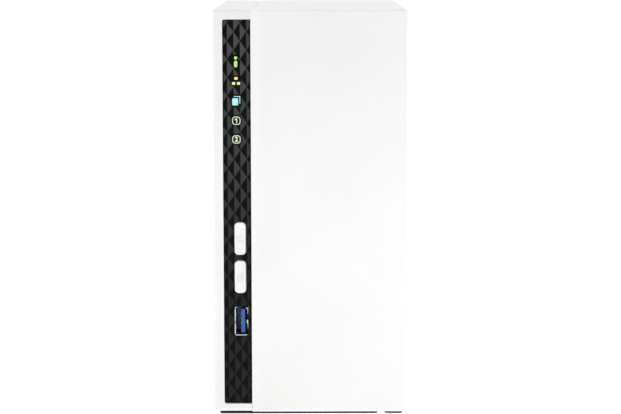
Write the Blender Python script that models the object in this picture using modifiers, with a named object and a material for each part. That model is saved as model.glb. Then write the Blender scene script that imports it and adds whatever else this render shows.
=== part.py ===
"""Two-bay network attached storage tower, with a side cover that slides off forwards.

Axes: X to the right, Y to the back, Z up; the origin is on the ground under the middle.
Sizes below are in millimetres. A place is (across, back, up): across from the middle,
back from the cover's front face, and up from the ground.
"""

import math

import bmesh
import bpy
from mathutils import Matrix, Vector, geometry

MM = 0.001

# Whole case
WIDTH, DEPTH, HEIGHT = 90.18, 156.26, 188.64
SIDE = WIDTH / 2
UNDERSIDE = 1.8
WALL = 2.4
GAP = 0.3
EDGE_ROUND, COVER_SIDE_ROUND = 1.1, 2.2
THROUGH = 10.0  # how far a cutter reaches past what it cuts
OVERLAP = 0.6  # how far joined shapes reach into each other
SHARP_ANGLE = 35  # degrees; an edge sharper than this is shaded as an edge
FLOOR_TOP = UNDERSIDE + WALL
CEILING = HEIGHT - WALL

# Where the main shell and the side cover meet
SHELL_SETBACK = 2.1
COVER_EDGE = -27.4
TOP_SEAM = -25.6
FLOOR_SEAM = 33.0
RIM_BEVEL_WIDTH, RIM_BEVEL_DEPTH = 4.7, 1.0
LIP_LEFT, LIP_RIGHT = -32.0, -21.5
LIP_FRONT, LIP_BACK = 8.0, 149.0

# Front strip and its window in the main shell
WINDOW_LEFT, WINDOW_BOTTOM, WINDOW_TOP = -40.1, 5.1, 183.8
WINDOW_ROUND = 1.0
STRIP_FACE, STRIP_STEP, STRIP_BACK = 3.4, 4.8, 5.8
STRIP_FLANGE = 1.4
STRIP_RIGHT = -25.9

# Buttons in the strip, and the switches behind them
BUTTON_LEFT, BUTTON_RIGHT = -35.2, -29.6
BUTTON_SPANS = {"power": (74.9, 90.4), "copy": (57.0, 72.5)}
BUTTON_ROUND = 2.1
BUTTON_FACE, BUTTON_FLANGE_FRONT, BUTTON_BACK = 2.8, 6.1, 7.1
BUTTON_FLANGE = 0.9
SWITCH_SIZE = 6.0
SWITCH_FRONT, SWITCH_BACK = 8.8, 12.6
STEM_RADIUS, STEM_LENGTH, SWITCH_WELL = 1.6, 2.5, 1.9

# Lights behind the strip
LIGHT_HEIGHTS = {"status": 163.5, "lan": 155.3, "copy": 146.5, "drive_1": 137.3, "drive_2": 128.7}
LED_SIZE = (1.6, 1.2, 2.2)
LED_FRONT = 9.0
GUIDE_LEFT, GUIDE_RIGHT = -34.9, -32.7
GUIDE_PAD_FRONT, GUIDE_SPINE_FRONT, GUIDE_BACK = 6.1, 7.2, 8.4
GUIDE_PAD_SIDE, GUIDE_PAD_SHARE = 0.8, 0.7  # a pad's half height, as a share of an LED's height

# Main board, standing against the left wall, and what it carries
BOARD_LEFT, BOARD_FACE = -37.0, -35.4
BOARD_FRONT, BOARD_BACK, BOARD_BOTTOM, BOARD_TOP = 8.7, 148.0, 9.0, 181.0
POST_RADIUS, PIN_RADIUS, PIN_HOLE = 3.0, 1.3, 1.65
BOARD_POSTS = [(16.0, 14.5), (141.0, 14.5), (16.0, 175.5), (141.0, 175.5)]
SEAT = BOARD_FACE + GAP  # where a piece on the board starts
PROCESSOR = ((50.0, 96.0), 15.0, 1.4)
HEAT_SINK_SIDE, HEAT_SINK_BASE, FIN_HEIGHT, FIN_COUNT, FIN_THICKNESS = 30.0, 2.0, 6.5, 7, 1.1
MEMORY = ((78.0, 99.0), (9.0, 13.0), 1.0)
COIN_CELL = ((104.0, 146.0), 10.0, 3.2)
FAN_HEADER = ((112.0, 76.0), (8.0, 8.0), 6.4)

# Sockets
MOUTH_BACK = 153.0
USB_HEIGHT, USB_WIDTH, USB_LENGTH, USB_SHEET = 5.9, 13.3, 14.0, 0.4
USB_TONGUE, USB_TONGUE_WIDTH, USB_TONGUE_RECESS, USB_BLOCK = 1.85, 11.2, 1.5, 3.6
FRONT_USB_BOTTOM, FRONT_USB_MOUTH = 37.3, 3.0
REAR_USB_BOTTOMS = {"lower": 76.0, "upper": 94.0}
LAN_BOTTOM, LAN_WIDTH, LAN_HEIGHT, LAN_LENGTH = 52.0, 16.0, 13.4, 21.0
LAN_MOUTH_WIDTH, LAN_MOUTH_HEIGHT, LAN_MOUTH_DEPTH = 11.9, 7.0, 13.0
LAN_LATCH_WIDTH, LAN_LATCH_HEIGHT, LAN_FLOOR = 6.4, 2.4, 2.0
JACK_BOTTOM, JACK_WIDTH, JACK_HEIGHT, JACK_LENGTH = 22.0, 9.0, 11.0, 14.0
JACK_BORE, JACK_BORE_DEPTH, JACK_PIN, JACK_PIN_RECESS = 3.2, 10.0, 1.0, 1.2
PORT_CLEARANCE = 0.4

# Reset button at the back
RESET_UP, RESET_ACROSS = 118.0, -33.3
RESET_FRONT, RESET_BACK, RESET_WELL = 143.0, 147.6, 2.4
RESET_PLUNGER, RESET_PLUNGER_LENGTH, RESET_REACH, RESET_HOLE = 0.7, 3.4, 2.0, 1.0

# Rear panel
PANEL_FRONT, PANEL_SHEET = 150.8, 1.5
PANEL_SIDE, PANEL_BOTTOM, PANEL_TOP, PANEL_ROUND = 42.4, 4.5, 185.9, 1.0
GRILLE_FIRST, GRILLE_STEP, GRILLE_SLOT, GRILLE_RINGS, GRILLE_SPOKE = 7.6, 5.0, 3.2, 4, 2.6
GRILLE_FEWEST_STEPS, GRILLE_STEP_LENGTH = 4, 3.0  # how finely a slot's arcs are drawn
LOCK_SLOT = ((-32.6, 165.0), (-29.4, 172.2))

# Fan
FAN_ACROSS, FAN_UP, FAN_SIZE, FAN_FRONT, FAN_BACK = 11.0, 118.0, 60.0, 125.5, 150.5
FAN_BORE, FAN_FLANGE, FAN_POCKET, FAN_ROUND = 28.5, 4.0, 8.0, 2.5
FAN_HOLE_PITCH, FAN_HOLE = 50.0, 2.3
MOTOR_RADIUS, MOTOR_FRONT, STRUT_WIDTH, STRUT_FRONT, STRUT_COUNT = 13.5, 146.2, 3.0, 147.4, 4
STRUT_TURN = 45  # degrees from level to the first strut
ROTOR_FRONT, ROTOR_BACK, HUB_RADIUS = 131.0, 145.2, 13.0
BLADE_COUNT, BLADE_TIP, BLADE_ROOT, BLADE_CHORD, BLADE_THICKNESS = 7, 27.5, 11.6, 14.0, 1.3
BLADE_PITCH = 38.0
SHAFT_RADIUS, SHAFT_BORE, SHAFT_END = 1.5, 1.75, 149.4
CABLE_RADIUS = 1.1
CABLE_START, CABLE_START_HANDLE = (-19.4, 136.0, 96.0), (-31.0, 136.0, 96.0)
CABLE_END_HANDLE, CABLE_END = (-20.0, 116.0, 80.0), (-28.3, 116.0, 80.0)
CABLE_POINTS = 12

# Drives, standing on end with their connectors down
DRIVE_THICKNESS, DRIVE_WIDTH, DRIVE_LENGTH = 26.1, 101.6, 147.0
DRIVE_FRONT, DRIVE_BOTTOM = 10.0, 24.0
DRIVE_LEFTS = {"drive_1": -18.3, "drive_2": 11.2}
LID_THICKNESS, LID_MARGIN, LID_ROUND, DRIVE_ROUND = 1.2, 2.0, 3.0, 6.0
DRIVE_BOARD_SIZE, DRIVE_BOARD_THICKNESS, DRIVE_RECESS = (92.0, 58.0), 1.6, 3.0
DRIVE_SCREW_UPS, DRIVE_SCREW_IN = (28.5, 130.1), 6.35
SOCKET_FRONT, SOCKET_LENGTH, SOCKET_IN, SOCKET_WIDTH = 31.0, 46.0, 3.2, 8.0
SOCKET_TONGUE_WIDTH, SOCKET_TONGUE_RISE, SOCKET_POCKET_SPARE = 4.0, 4.4, 0.8

# Board under the drives, and its edge connector on the main board
BACKPLANE_LEFT, BACKPLANE_RIGHT, BACKPLANE_FRONT, BACKPLANE_BACK = -33.0, 31.0, 29.0, 93.0
BACKPLANE_BOTTOM, BOARD_SHEET = 14.0, 1.6
BACKPLANE_POSTS = [(-27.0, 33.5), (-27.0, 88.5), (27.0, 33.5), (27.0, 88.5)]
RISER_RIGHT, RISER_FRONT, RISER_BACK, RISER_BOTTOM, RISER_TOP = -28.0, 40.0, 82.0, 10.2, 19.6

# Drive cage of folded sheet
CAGE_SHEET = 1.0
CAGE_LEFT, CAGE_RIGHT, CAGE_FRONT, CAGE_BACK = -20.0, 38.5, 8.0, 113.6
CAGE_BOTTOM, CAGE_TOP, CAGE_STEP_UP, CAGE_STEP_RIGHT = 4.5, 172.0, 17.0, 32.0
CAGE_FOOT = 9.0
CAGE_VENT_WIDTH, CAGE_VENT_LENGTH, CAGE_VENT_COUNT, CAGE_VENT_STEP = 5.0, 60.0, 6, 14.0
CAGE_VENT_FIRST, CAGE_VENT_BOTTOM = 24.0, 88.0

# Screws
SCREW_HEAD, SCREW_HEAD_HEIGHT, SCREW_SHANK, SCREW_HOLE = 3.0, 1.6, 1.4, 1.75
SCREW_LENGTH = 5.4
FAN_SCREW_HEAD, FAN_SCREW_HEIGHT, FAN_SCREW_SHANK, FAN_SCREW_LENGTH = 3.9, 1.9, 2.0, 9.6
THUMB_HEAD, THUMB_HEIGHT, THUMB_SHANK, THUMB_LENGTH, THUMB_HOLE = 4.2, 3.3, 1.4, 6.0, 1.8
DRIVER_SLOT_WIDTH, DRIVER_SLOT_DEPTH, DRIVER_SLOT_SHARE = 0.9, 0.8, 0.6
THUMB_PLACES = {"upper": (38.0, 179.4), "lower": (38.4, 9.4)}
COVER_BOSS_FRONT, COVER_BOSS_BACK, COVER_BOSS_LEFT, COVER_BOSS_SIDE = 144.5, 150.4, 4.2, 4.4
COVER_BORE = 4.6

# Vents in the casing
VENT_WIDTH, VENT_LENGTH, VENT_STEP = 2.6, 34.0, 6.4
FLOOR_VENT_FIRST, FLOOR_VENT_COUNT, FLOOR_VENT_ROWS = -26.0, 9, (24.0, 98.0)
WALL_VENT_FIRST, WALL_VENT_COUNT, WALL_VENT_BOTTOM, WALL_VENT_HEIGHT = 24.0, 17, 24.0, 16.0

# Feet
FOOT_HEIGHT, FOOT_ROUND = 1.5, 0.3
FOOT_ROWS = {"front": (4.6, 13.6), "rear": (141.0, 150.0)}
SHELL_FOOT = (-42.3, 31.3)
COVER_FOOT = (34.6, 42.9)

PLANES = {
    "XY": Matrix(((1, 0, 0), (0, 1, 0), (0, 0, 1))).to_4x4(),
    "XZ": Matrix(((1, 0, 0), (0, 0, -1), (0, 1, 0))).to_4x4(),
    "YZ": Matrix(((0, 0, 1), (1, 0, 0), (0, 1, 0))).to_4x4(),
}
TURNS = {
    "X": Matrix.Rotation(math.radians(90), 4, "Y"),
    "Y": Matrix.Rotation(math.radians(-90), 4, "X"),
    "Z": Matrix.Identity(4),
}
FINISHES = {
    "white_abs": ((0.86, 0.86, 0.85, 1), 0.42, 0.0),
    "black_plastic": ((0.025, 0.025, 0.027, 1), 0.35, 0.0),
    "connector_plastic": ((0.03, 0.03, 0.035, 1), 0.5, 0.0),
    "usb_blue": ((0.02, 0.12, 0.45, 1), 0.4, 0.0),
    "clear_acrylic": ((0.8, 0.82, 0.84, 1), 0.12, 0.0),
    "led_resin": ((0.75, 0.85, 0.5, 1), 0.25, 0.0),
    "rubber": ((0.03, 0.03, 0.03, 1), 0.8, 0.0),
    "plated_steel": ((0.62, 0.62, 0.63, 1), 0.32, 1.0),
    "painted_steel": ((0.55, 0.56, 0.57, 1), 0.5, 0.0),
    "aluminium": ((0.66, 0.67, 0.68, 1), 0.38, 1.0),
    "circuit_green": ((0.02, 0.16, 0.09, 1), 0.4, 0.0),
    "chip_epoxy": ((0.02, 0.02, 0.022, 1), 0.55, 0.0),
}

parts = bpy.data.collections.new("nas_two_bay_tower")
cutters = bpy.data.collections.new("cutters")


def clear_scene():
    for old in list(bpy.data.objects):
        bpy.data.objects.remove(old)
    bpy.context.scene.collection.children.link(parts)
    bpy.context.scene.collection.children.link(cutters)


def place(across, back, up):
    """The point in metres for a place in millimetres."""
    return Vector((across, back - DEPTH / 2, up)) * MM


def helper(name, mesh, matrix):
    """A new shape, kept as a cutter or a guide until make_part turns it into a part."""
    shape = bpy.data.objects.new(name, mesh)
    shape.matrix_world = matrix
    shape.hide_render = True
    shape.display_type = "WIRE"
    cutters.objects.link(shape)
    return shape


def make_part(shape, finish):
    colour, roughness, metallic = FINISHES[finish]
    material = bpy.data.materials.new(shape.name)
    material.use_nodes = True
    shader = material.node_tree.nodes["Principled BSDF"]
    shader.inputs["Base Color"].default_value = colour
    shader.inputs["Roughness"].default_value = roughness
    shader.inputs["Metallic"].default_value = metallic
    shape.data.materials.append(material)
    shape.data.shade_smooth()
    shape.data.set_sharp_from_angle(angle=math.radians(SHARP_ANGLE))
    shape.hide_render = False
    shape.display_type = "TEXTURED"
    cutters.objects.unlink(shape)
    parts.objects.link(shape)
    return shape


def box(name, low, high):
    low, high = place(*low), place(*high)
    mesh = bpy.data.meshes.new(name)
    shape = bmesh.new()
    bmesh.ops.create_cube(shape, size=1.0)
    bmesh.ops.scale(shape, vec=high - low, verts=shape.verts)
    shape.to_mesh(mesh)
    shape.free()
    return helper(name, mesh, Matrix.Translation((low + high) / 2))


def rod(name, start, length, radius, axis, sides=24):
    """A cylinder from its start along +X, +Y or +Z."""
    mesh = bpy.data.meshes.new(name)
    shape = bmesh.new()
    bmesh.ops.create_cone(
        shape,
        cap_ends=True,
        segments=sides,
        radius1=radius * MM,
        radius2=radius * MM,
        depth=length * MM,
        matrix=Matrix.Translation((0, 0, length * MM / 2)),
    )
    shape.to_mesh(mesh)
    shape.free()
    return helper(name, mesh, Matrix.Translation(place(*start)) @ TURNS[axis])


def plate(name, outlines, plane, start, thickness):
    """Flat outlines thickened along the plane's normal from start. Inner outlines are holes."""
    curve = bpy.data.curves.new(name, "CURVE")
    curve.dimensions = "2D"
    curve.fill_mode = "BOTH"
    curve.extrude = thickness * MM / 2
    for outline in outlines:
        spline = curve.splines.new("POLY")
        spline.points.add(len(outline) - 1)
        for point, (first, second) in zip(spline.points, outline):
            point.co = (first * MM, second * MM, 0, 1)
        spline.use_cyclic_u = True
    middle = start + thickness / 2
    centre = {"XY": (0, 0, middle), "XZ": (0, middle, 0), "YZ": (middle, 0, 0)}[plane]
    return meshed(name, curve, Matrix.Translation(place(*centre)) @ PLANES[plane])


def meshed(name, curve, matrix):
    """A curve made into a mesh whose caps are welded to its sides."""
    drawn = bpy.data.objects.new(name + "_curve", curve)
    drawn.matrix_world = matrix
    bpy.context.scene.collection.objects.link(drawn)
    graph = bpy.context.evaluated_depsgraph_get()
    mesh = bpy.data.meshes.new_from_object(drawn.evaluated_get(graph))
    bpy.data.objects.remove(drawn)
    shape = bmesh.new()
    shape.from_mesh(mesh)
    bmesh.ops.remove_doubles(shape, verts=shape.verts, dist=0.00001)
    bmesh.ops.recalc_face_normals(shape, faces=shape.faces)
    shape.to_mesh(mesh)
    shape.free()
    return helper(name, mesh, matrix)


def rounded(corners, radius, steps=3):
    """An outline's corners turned into arcs of one radius."""
    outline = []
    for index, corner in enumerate(corners):
        corner = Vector(corner)
        before = (Vector(corners[index - 1]) - corner).normalized()
        after = (Vector(corners[(index + 1) % len(corners)]) - corner).normalized()
        half = before.angle(after) / 2
        centre = corner + (before + after).normalized() * radius / math.sin(half)
        first = corner + before * radius / math.tan(half) - centre
        sweep = first.angle_signed(corner + after * radius / math.tan(half) - centre)
        for step in range(steps + 1):
            outline.append(centre + Matrix.Rotation(-sweep * step / steps, 2) @ first)
    return outline


def rectangle(low, high, radius=0.0):
    corners = [low, (high[0], low[1]), high, (low[0], high[1])]
    return rounded(corners, radius) if radius else corners


def circle(centre, radius, sides=20):
    turns = [2 * math.pi * side / sides for side in range(sides)]
    return [(centre[0] + radius * math.cos(t), centre[1] + radius * math.sin(t)) for t in turns]


def round_edges(shape, radius, chosen, segments=3):
    """Rounds the edges whose middle, as a place in millimetres, is chosen: True, or a share of the radius."""
    weights = shape.data.attributes.new("bevel_weight_edge", "FLOAT", "EDGE")
    for edge in shape.data.edges:
        ends = [shape.matrix_world @ shape.data.vertices[index].co for index in edge.vertices]
        middle = (ends[0] + ends[1]) / 2 / MM
        weights.data[edge.index].value = float(chosen(middle.x, middle.y + DEPTH / 2, middle.z))
    bevel = shape.modifiers.new("rounded edges", "BEVEL")
    bevel.limit_method = "WEIGHT"
    bevel.width = radius * MM
    bevel.segments = segments
    return shape


def combine(shape, operation, tools):
    for tool in tools:
        boolean = shape.modifiers.new(operation.lower() + " " + tool.name, "BOOLEAN")
        boolean.operation = operation
        boolean.object = tool
    return shape


def cut(shape, *tools):
    return combine(shape, "DIFFERENCE", tools)


def join(shape, *tools):
    return combine(shape, "UNION", tools)


def one_mesh(name, shapes):
    """Separate helper shapes gathered into a single cutter or addition."""
    gathered = bmesh.new()
    for shape in shapes:
        shape.data.transform(shape.matrix_world)
        gathered.from_mesh(shape.data)
        bpy.data.objects.remove(shape)
    mesh = bpy.data.meshes.new(name)
    gathered.to_mesh(mesh)
    gathered.free()
    return helper(name, mesh, Matrix.Identity(4))


def main_shell():
    """Left wall, floor, left strip of the top and the frame round the front strip."""
    shell = box("main_shell", (-SIDE, SHELL_SETBACK, UNDERSIDE), (FLOOR_SEAM - GAP / 2, DEPTH, HEIGHT))

    def outer(across, back, up):
        left, front = across < -SIDE + GAP, back < SHELL_SETBACK + GAP
        level = not UNDERSIDE + GAP < up < HEIGHT - GAP
        return (left and (front or level)) or (front and level)

    round_edges(shell, EDGE_ROUND, outer)
    inside_right = SIDE + THROUGH
    cut(
        shell,
        box(
            "shell_inside",
            (-SIDE + WALL, SHELL_SETBACK + WALL, FLOOR_TOP),
            (inside_right, DEPTH + THROUGH, CEILING),
        ),
        box(
            "shell_top_seam",
            (TOP_SEAM - GAP / 2, -THROUGH, CEILING - THROUGH),
            (inside_right, DEPTH + THROUGH, HEIGHT + THROUGH),
        ),
        box(
            "shell_front_right",
            (COVER_EDGE - GAP, -THROUGH, FLOOR_TOP),
            (inside_right, SHELL_SETBACK + WALL + GAP, HEIGHT + THROUGH),
        ),
        box(
            "shell_floor_front",
            (COVER_EDGE - GAP, -THROUGH, -THROUGH),
            (inside_right, WALL + GAP, FLOOR_TOP + GAP),
        ),
        plate(
            "shell_window",
            [rectangle((WINDOW_LEFT, WINDOW_BOTTOM), (COVER_EDGE + THROUGH, WINDOW_TOP), WINDOW_ROUND)],
            "XZ",
            -THROUGH,
            SHELL_SETBACK + WALL + THROUGH + GAP,
        ),
        floor_vents(),
        wall_vents(),
    )
    join(
        shell,
        box("shell_lip", (LIP_LEFT, LIP_FRONT, CEILING - GAP - WALL + OVERLAP), (LIP_RIGHT, LIP_BACK, CEILING - GAP)),
        box("shell_lip_root", (LIP_LEFT, LIP_FRONT, CEILING - 2 * OVERLAP), (TOP_SEAM - GAP, LIP_BACK, CEILING + OVERLAP)),
        shell_posts(),
    )
    return make_part(shell, "white_abs")


def floor_vents():
    slots = []
    for row in FLOOR_VENT_ROWS:
        for index in range(FLOOR_VENT_COUNT):
            left = FLOOR_VENT_FIRST + index * VENT_STEP
            low = (left, row, -THROUGH)
            high = (left + VENT_WIDTH, row + VENT_LENGTH, FLOOR_TOP + GAP)
            slots.append(box("vent", low, high))
    return one_mesh("floor_vents", slots)


def wall_vents():
    slots = []
    for index in range(WALL_VENT_COUNT):
        front = WALL_VENT_FIRST + index * VENT_STEP
        low = (-SIDE - THROUGH, front, WALL_VENT_BOTTOM)
        high = (-SIDE + WALL + GAP, front + VENT_WIDTH, WALL_VENT_BOTTOM + WALL_VENT_HEIGHT)
        slots.append(box("vent", low, high))
    return one_mesh("wall_vents", slots)


def shell_posts():
    """Posts whose pins go through the two boards, with the ledge behind which the rear panel sits."""
    shapes = []
    wall = -SIDE + WALL - OVERLAP
    for back, up in BOARD_POSTS:
        post = rod("post", (wall, back, up), BOARD_LEFT - GAP - wall, POST_RADIUS, "X", 16)
        pin = rod("pin", (wall, back, up), BOARD_FACE + GAP - wall, PIN_RADIUS, "X", 12)
        shapes.append(post_with_pin(post, pin))
    for across, back in BACKPLANE_POSTS:
        floor = FLOOR_TOP - OVERLAP
        post = rod("post", (across, back, floor), BACKPLANE_BOTTOM - GAP - floor, POST_RADIUS, "Z", 16)
        top = BACKPLANE_BOTTOM + BOARD_SHEET + GAP
        pin = rod("pin", (across, back, floor), top - floor, PIN_RADIUS, "Z", 12)
        shapes.append(post_with_pin(post, pin))
    return one_mesh("shell_posts", shapes)


def post_with_pin(post, pin):
    """The post and its pin as one evaluated body."""
    join(post, pin)
    graph = bpy.context.evaluated_depsgraph_get()
    mesh = bpy.data.meshes.new_from_object(post.evaluated_get(graph))
    body = helper("post_and_pin", mesh, post.matrix_world.copy())
    bpy.data.objects.remove(post)
    bpy.data.objects.remove(pin)
    return body


def side_cover():
    """Front face, top and right wall in one piece, with a strip of floor and two screw bosses."""
    cover = box("side_cover", (COVER_EDGE, 0, UNDERSIDE), (SIDE, DEPTH, HEIGHT))

    def outer(across, back, up):
        right, front = across > SIDE - GAP, back < GAP
        level = not UNDERSIDE + GAP < up < HEIGHT - GAP
        if right and front:
            return 1.0
        return EDGE_ROUND / COVER_SIDE_ROUND if level and (right or front) else 0.0

    round_edges(cover, COVER_SIDE_ROUND, outer)
    rim = [
        (COVER_EDGE - THROUGH, RIM_BEVEL_DEPTH * (1 + THROUGH / RIM_BEVEL_WIDTH)),
        (COVER_EDGE - THROUGH, -THROUGH),
        (COVER_EDGE + RIM_BEVEL_WIDTH + THROUGH, -THROUGH),
        (COVER_EDGE + RIM_BEVEL_WIDTH + THROUGH, -RIM_BEVEL_DEPTH * THROUGH / RIM_BEVEL_WIDTH),
    ]
    cut(
        cover,
        box("cover_inside", (-SIDE, WALL, FLOOR_TOP), (SIDE - WALL, DEPTH + THROUGH, CEILING)),
        box(
            "cover_top_seam",
            (-SIDE, WALL, CEILING - THROUGH),
            (TOP_SEAM + GAP / 2, DEPTH + THROUGH, HEIGHT + THROUGH),
        ),
        box(
            "cover_floor_seam",
            (-SIDE, WALL, -THROUGH),
            (FLOOR_SEAM + GAP / 2, DEPTH + THROUGH, FLOOR_TOP + GAP),
        ),
        plate("cover_rim", [rim], "XY", -THROUGH, HEIGHT + 2 * THROUGH),
    )
    for name, (across, up) in THUMB_PLACES.items():
        low = (across - COVER_BOSS_LEFT, COVER_BOSS_FRONT, up - COVER_BOSS_SIDE)
        high = (SIDE - WALL + OVERLAP, COVER_BOSS_BACK, up + COVER_BOSS_SIDE)
        bridge_up = (UNDERSIDE + OVERLAP, up) if up < HEIGHT / 2 else (up, CEILING + OVERLAP)
        bridge_low = (across - COVER_BOSS_LEFT + OVERLAP, COVER_BOSS_FRONT + OVERLAP, bridge_up[0])
        bridge_high = (SIDE - WALL + OVERLAP, COVER_BOSS_BACK - OVERLAP, bridge_up[1])
        join(cover, box("boss_" + name, low, high), box("bridge_" + name, bridge_low, bridge_high))
        bore_start = (across, COVER_BOSS_BACK - COVER_BORE, up)
        cut(cover, rod("bore_" + name, bore_start, COVER_BORE + WALL, THUMB_HOLE, "Y", 16))
    return make_part(cover, "white_abs")


def front_strip():
    """Glossy strip in the shell's window, with holes for the buttons and the socket."""
    low = (WINDOW_LEFT - STRIP_FLANGE, STRIP_STEP, FLOOR_TOP + GAP)
    high = (STRIP_RIGHT, STRIP_BACK, WINDOW_TOP + STRIP_FLANGE)
    strip = box("front_strip", low, high)
    face_low = (WINDOW_LEFT + GAP, STRIP_FACE, WINDOW_BOTTOM + GAP)
    face_high = (STRIP_RIGHT - OVERLAP, STRIP_STEP + OVERLAP, WINDOW_TOP - GAP)
    join(strip, box("strip_face", face_low, face_high))
    holes = []
    for bottom, top in BUTTON_SPANS.values():
        corner = (BUTTON_LEFT - GAP, bottom - GAP)
        holes.append(rectangle(corner, (BUTTON_RIGHT + GAP, top + GAP), BUTTON_ROUND + GAP))
    usb_top = FRONT_USB_BOTTOM + USB_WIDTH + GAP
    holes.append(rectangle((SEAT - GAP, FRONT_USB_BOTTOM - GAP), (SEAT + USB_HEIGHT + GAP, usb_top)))
    cut(strip, plate("strip_holes", holes, "XZ", -THROUGH, STRIP_BACK + 2 * THROUGH))
    return make_part(strip, "black_plastic")


def front_button(name, bottom, top):
    """Cap with a flange behind the strip and a stem that presses the switch behind it."""
    outline = rectangle((BUTTON_LEFT, bottom), (BUTTON_RIGHT, top), BUTTON_ROUND)
    flange = rectangle(
        (BUTTON_LEFT - BUTTON_FLANGE, bottom - BUTTON_FLANGE),
        (BUTTON_RIGHT + BUTTON_FLANGE, top + BUTTON_FLANGE),
        BUTTON_ROUND + BUTTON_FLANGE,
    )
    cap = plate(name + "_button", [outline], "XZ", BUTTON_FACE, BUTTON_BACK - OVERLAP / 2 - BUTTON_FACE)
    across, up = SEAT + SWITCH_SIZE / 2, (bottom + top) / 2
    stem_start = (across, BUTTON_BACK - OVERLAP, up)
    join(
        cap,
        plate(name + "_flange", [flange], "XZ", BUTTON_FLANGE_FRONT, BUTTON_BACK - BUTTON_FLANGE_FRONT),
        rod(name + "_stem", stem_start, STEM_LENGTH + OVERLAP, STEM_RADIUS, "Y", 16),
    )
    make_part(cap, "white_abs")

    low = (SEAT, SWITCH_FRONT, up - SWITCH_SIZE / 2)
    switch = box(name + "_switch", low, (SEAT + SWITCH_SIZE, SWITCH_BACK, up + SWITCH_SIZE / 2))
    well_start = (across, SWITCH_FRONT - THROUGH, up)
    well = rod(name + "_well", well_start, THROUGH + SWITCH_WELL, STEM_RADIUS + GAP, "Y", 16)
    make_part(cut(switch, well), "plated_steel")


def lights():
    """An LED for each light, and the clear guide that carries them to the strip."""
    middle = SEAT + LED_SIZE[0] / 2
    low_spine = min(LIGHT_HEIGHTS.values()) - LED_SIZE[2]
    high_spine = max(LIGHT_HEIGHTS.values()) + LED_SIZE[2]
    spine_low = (GUIDE_LEFT, GUIDE_SPINE_FRONT, low_spine)
    guide = box("light_guide", spine_low, (GUIDE_RIGHT, GUIDE_BACK, high_spine))
    for name, up in LIGHT_HEIGHTS.items():
        low = (middle - LED_SIZE[0] / 2, LED_FRONT, up - LED_SIZE[2] / 2)
        high = (middle + LED_SIZE[0] / 2, LED_FRONT + LED_SIZE[1], up + LED_SIZE[2] / 2)
        make_part(box(name + "_led", low, high), "led_resin")
        pad_low = (GUIDE_LEFT - GUIDE_PAD_SIDE, GUIDE_PAD_FRONT, up - LED_SIZE[2] * GUIDE_PAD_SHARE)
        pad_high = (GUIDE_RIGHT + GUIDE_PAD_SIDE, GUIDE_SPINE_FRONT + OVERLAP, up + LED_SIZE[2] * GUIDE_PAD_SHARE)
        join(guide, box(name + "_pad", pad_low, pad_high))
    make_part(guide, "clear_acrylic")


def on_board(name, place_low, size, rise):
    """A block on the main board's face. Its place and size are (back, up)."""
    (back, up), (length, width) = place_low, size
    return box(name, (SEAT, back, up), (SEAT + rise, back + length, up + width))


def main_board():
    holes = [circle(post, PIN_HOLE, 12) for post in BOARD_POSTS]
    outline = rectangle((BOARD_FRONT, BOARD_BOTTOM), (BOARD_BACK, BOARD_TOP))
    board = plate("main_board", [outline] + holes, "YZ", BOARD_LEFT, BOARD_FACE - BOARD_LEFT)
    make_part(board, "circuit_green")

    centre, side, rise = PROCESSOR
    corner = (centre[0] - side / 2, centre[1] - side / 2)
    make_part(on_board("processor", corner, (side, side), rise), "chip_epoxy")
    make_part(on_board("memory_chip", *MEMORY), "chip_epoxy")
    heat_sink(centre, SEAT + rise + GAP)
    cell_centre, cell_radius, cell_thickness = COIN_CELL
    cell = rod("coin_cell", (SEAT, *cell_centre), cell_thickness, cell_radius, "X", 32)
    make_part(cell, "plated_steel")
    make_part(on_board("fan_header", *FAN_HEADER), "connector_plastic")


def heat_sink(centre, left):
    half = HEAT_SINK_SIDE / 2
    low = (left, centre[0] - half, centre[1] - half)
    high = (left + HEAT_SINK_BASE, centre[0] + half, centre[1] + half)
    sink = box("heat_sink", low, high)
    fins = []
    step = (HEAT_SINK_SIDE - FIN_THICKNESS) / (FIN_COUNT - 1)
    for index in range(FIN_COUNT):
        front = centre[0] - half + index * step
        fin_low = (left + HEAT_SINK_BASE - OVERLAP, front, centre[1] - half)
        fin_high = (left + HEAT_SINK_BASE + FIN_HEIGHT, front + FIN_THICKNESS, centre[1] + half)
        fins.append(box("fin", fin_low, fin_high))
    make_part(join(sink, one_mesh("heat_sink_fins", fins)), "aluminium")


def usb_socket(name, up, mouth, inward, tongue_finish):
    """Sheet shell and tongue of a socket lying on the main board. inward is +1 or -1 along the depth."""
    def span(first, second):
        ends = (mouth + inward * first, mouth + inward * second)
        return min(ends), max(ends)

    front, back = span(0, USB_LENGTH)
    shell = box(name + "_shell", (SEAT, front, up), (SEAT + USB_HEIGHT, back, up + USB_WIDTH))
    inner_front, inner_back = span(-THROUGH, USB_LENGTH + THROUGH)
    inner_low = (SEAT + USB_SHEET, inner_front, up + USB_SHEET)
    inner_high = (SEAT + USB_HEIGHT - USB_SHEET, inner_back, up + USB_WIDTH - USB_SHEET)
    make_part(cut(shell, box(name + "_mouth", inner_low, inner_high)), "plated_steel")

    block_front, block_back = span(USB_LENGTH - USB_BLOCK, USB_LENGTH - GAP)
    block_low = (inner_low[0] + GAP, block_front, inner_low[2] + GAP)
    block_high = (inner_high[0] - GAP, block_back, inner_high[2] - GAP)
    tongue = box(name + "_tongue", block_low, block_high)
    blade_front, blade_back = span(USB_TONGUE_RECESS, USB_LENGTH - USB_BLOCK + OVERLAP)
    middle = up + USB_WIDTH / 2
    blade_low = (block_high[0] - USB_TONGUE, blade_front, middle - USB_TONGUE_WIDTH / 2)
    blade_high = (block_high[0], blade_back, middle + USB_TONGUE_WIDTH / 2)
    make_part(join(tongue, box(name + "_blade", blade_low, blade_high)), tongue_finish)


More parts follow.
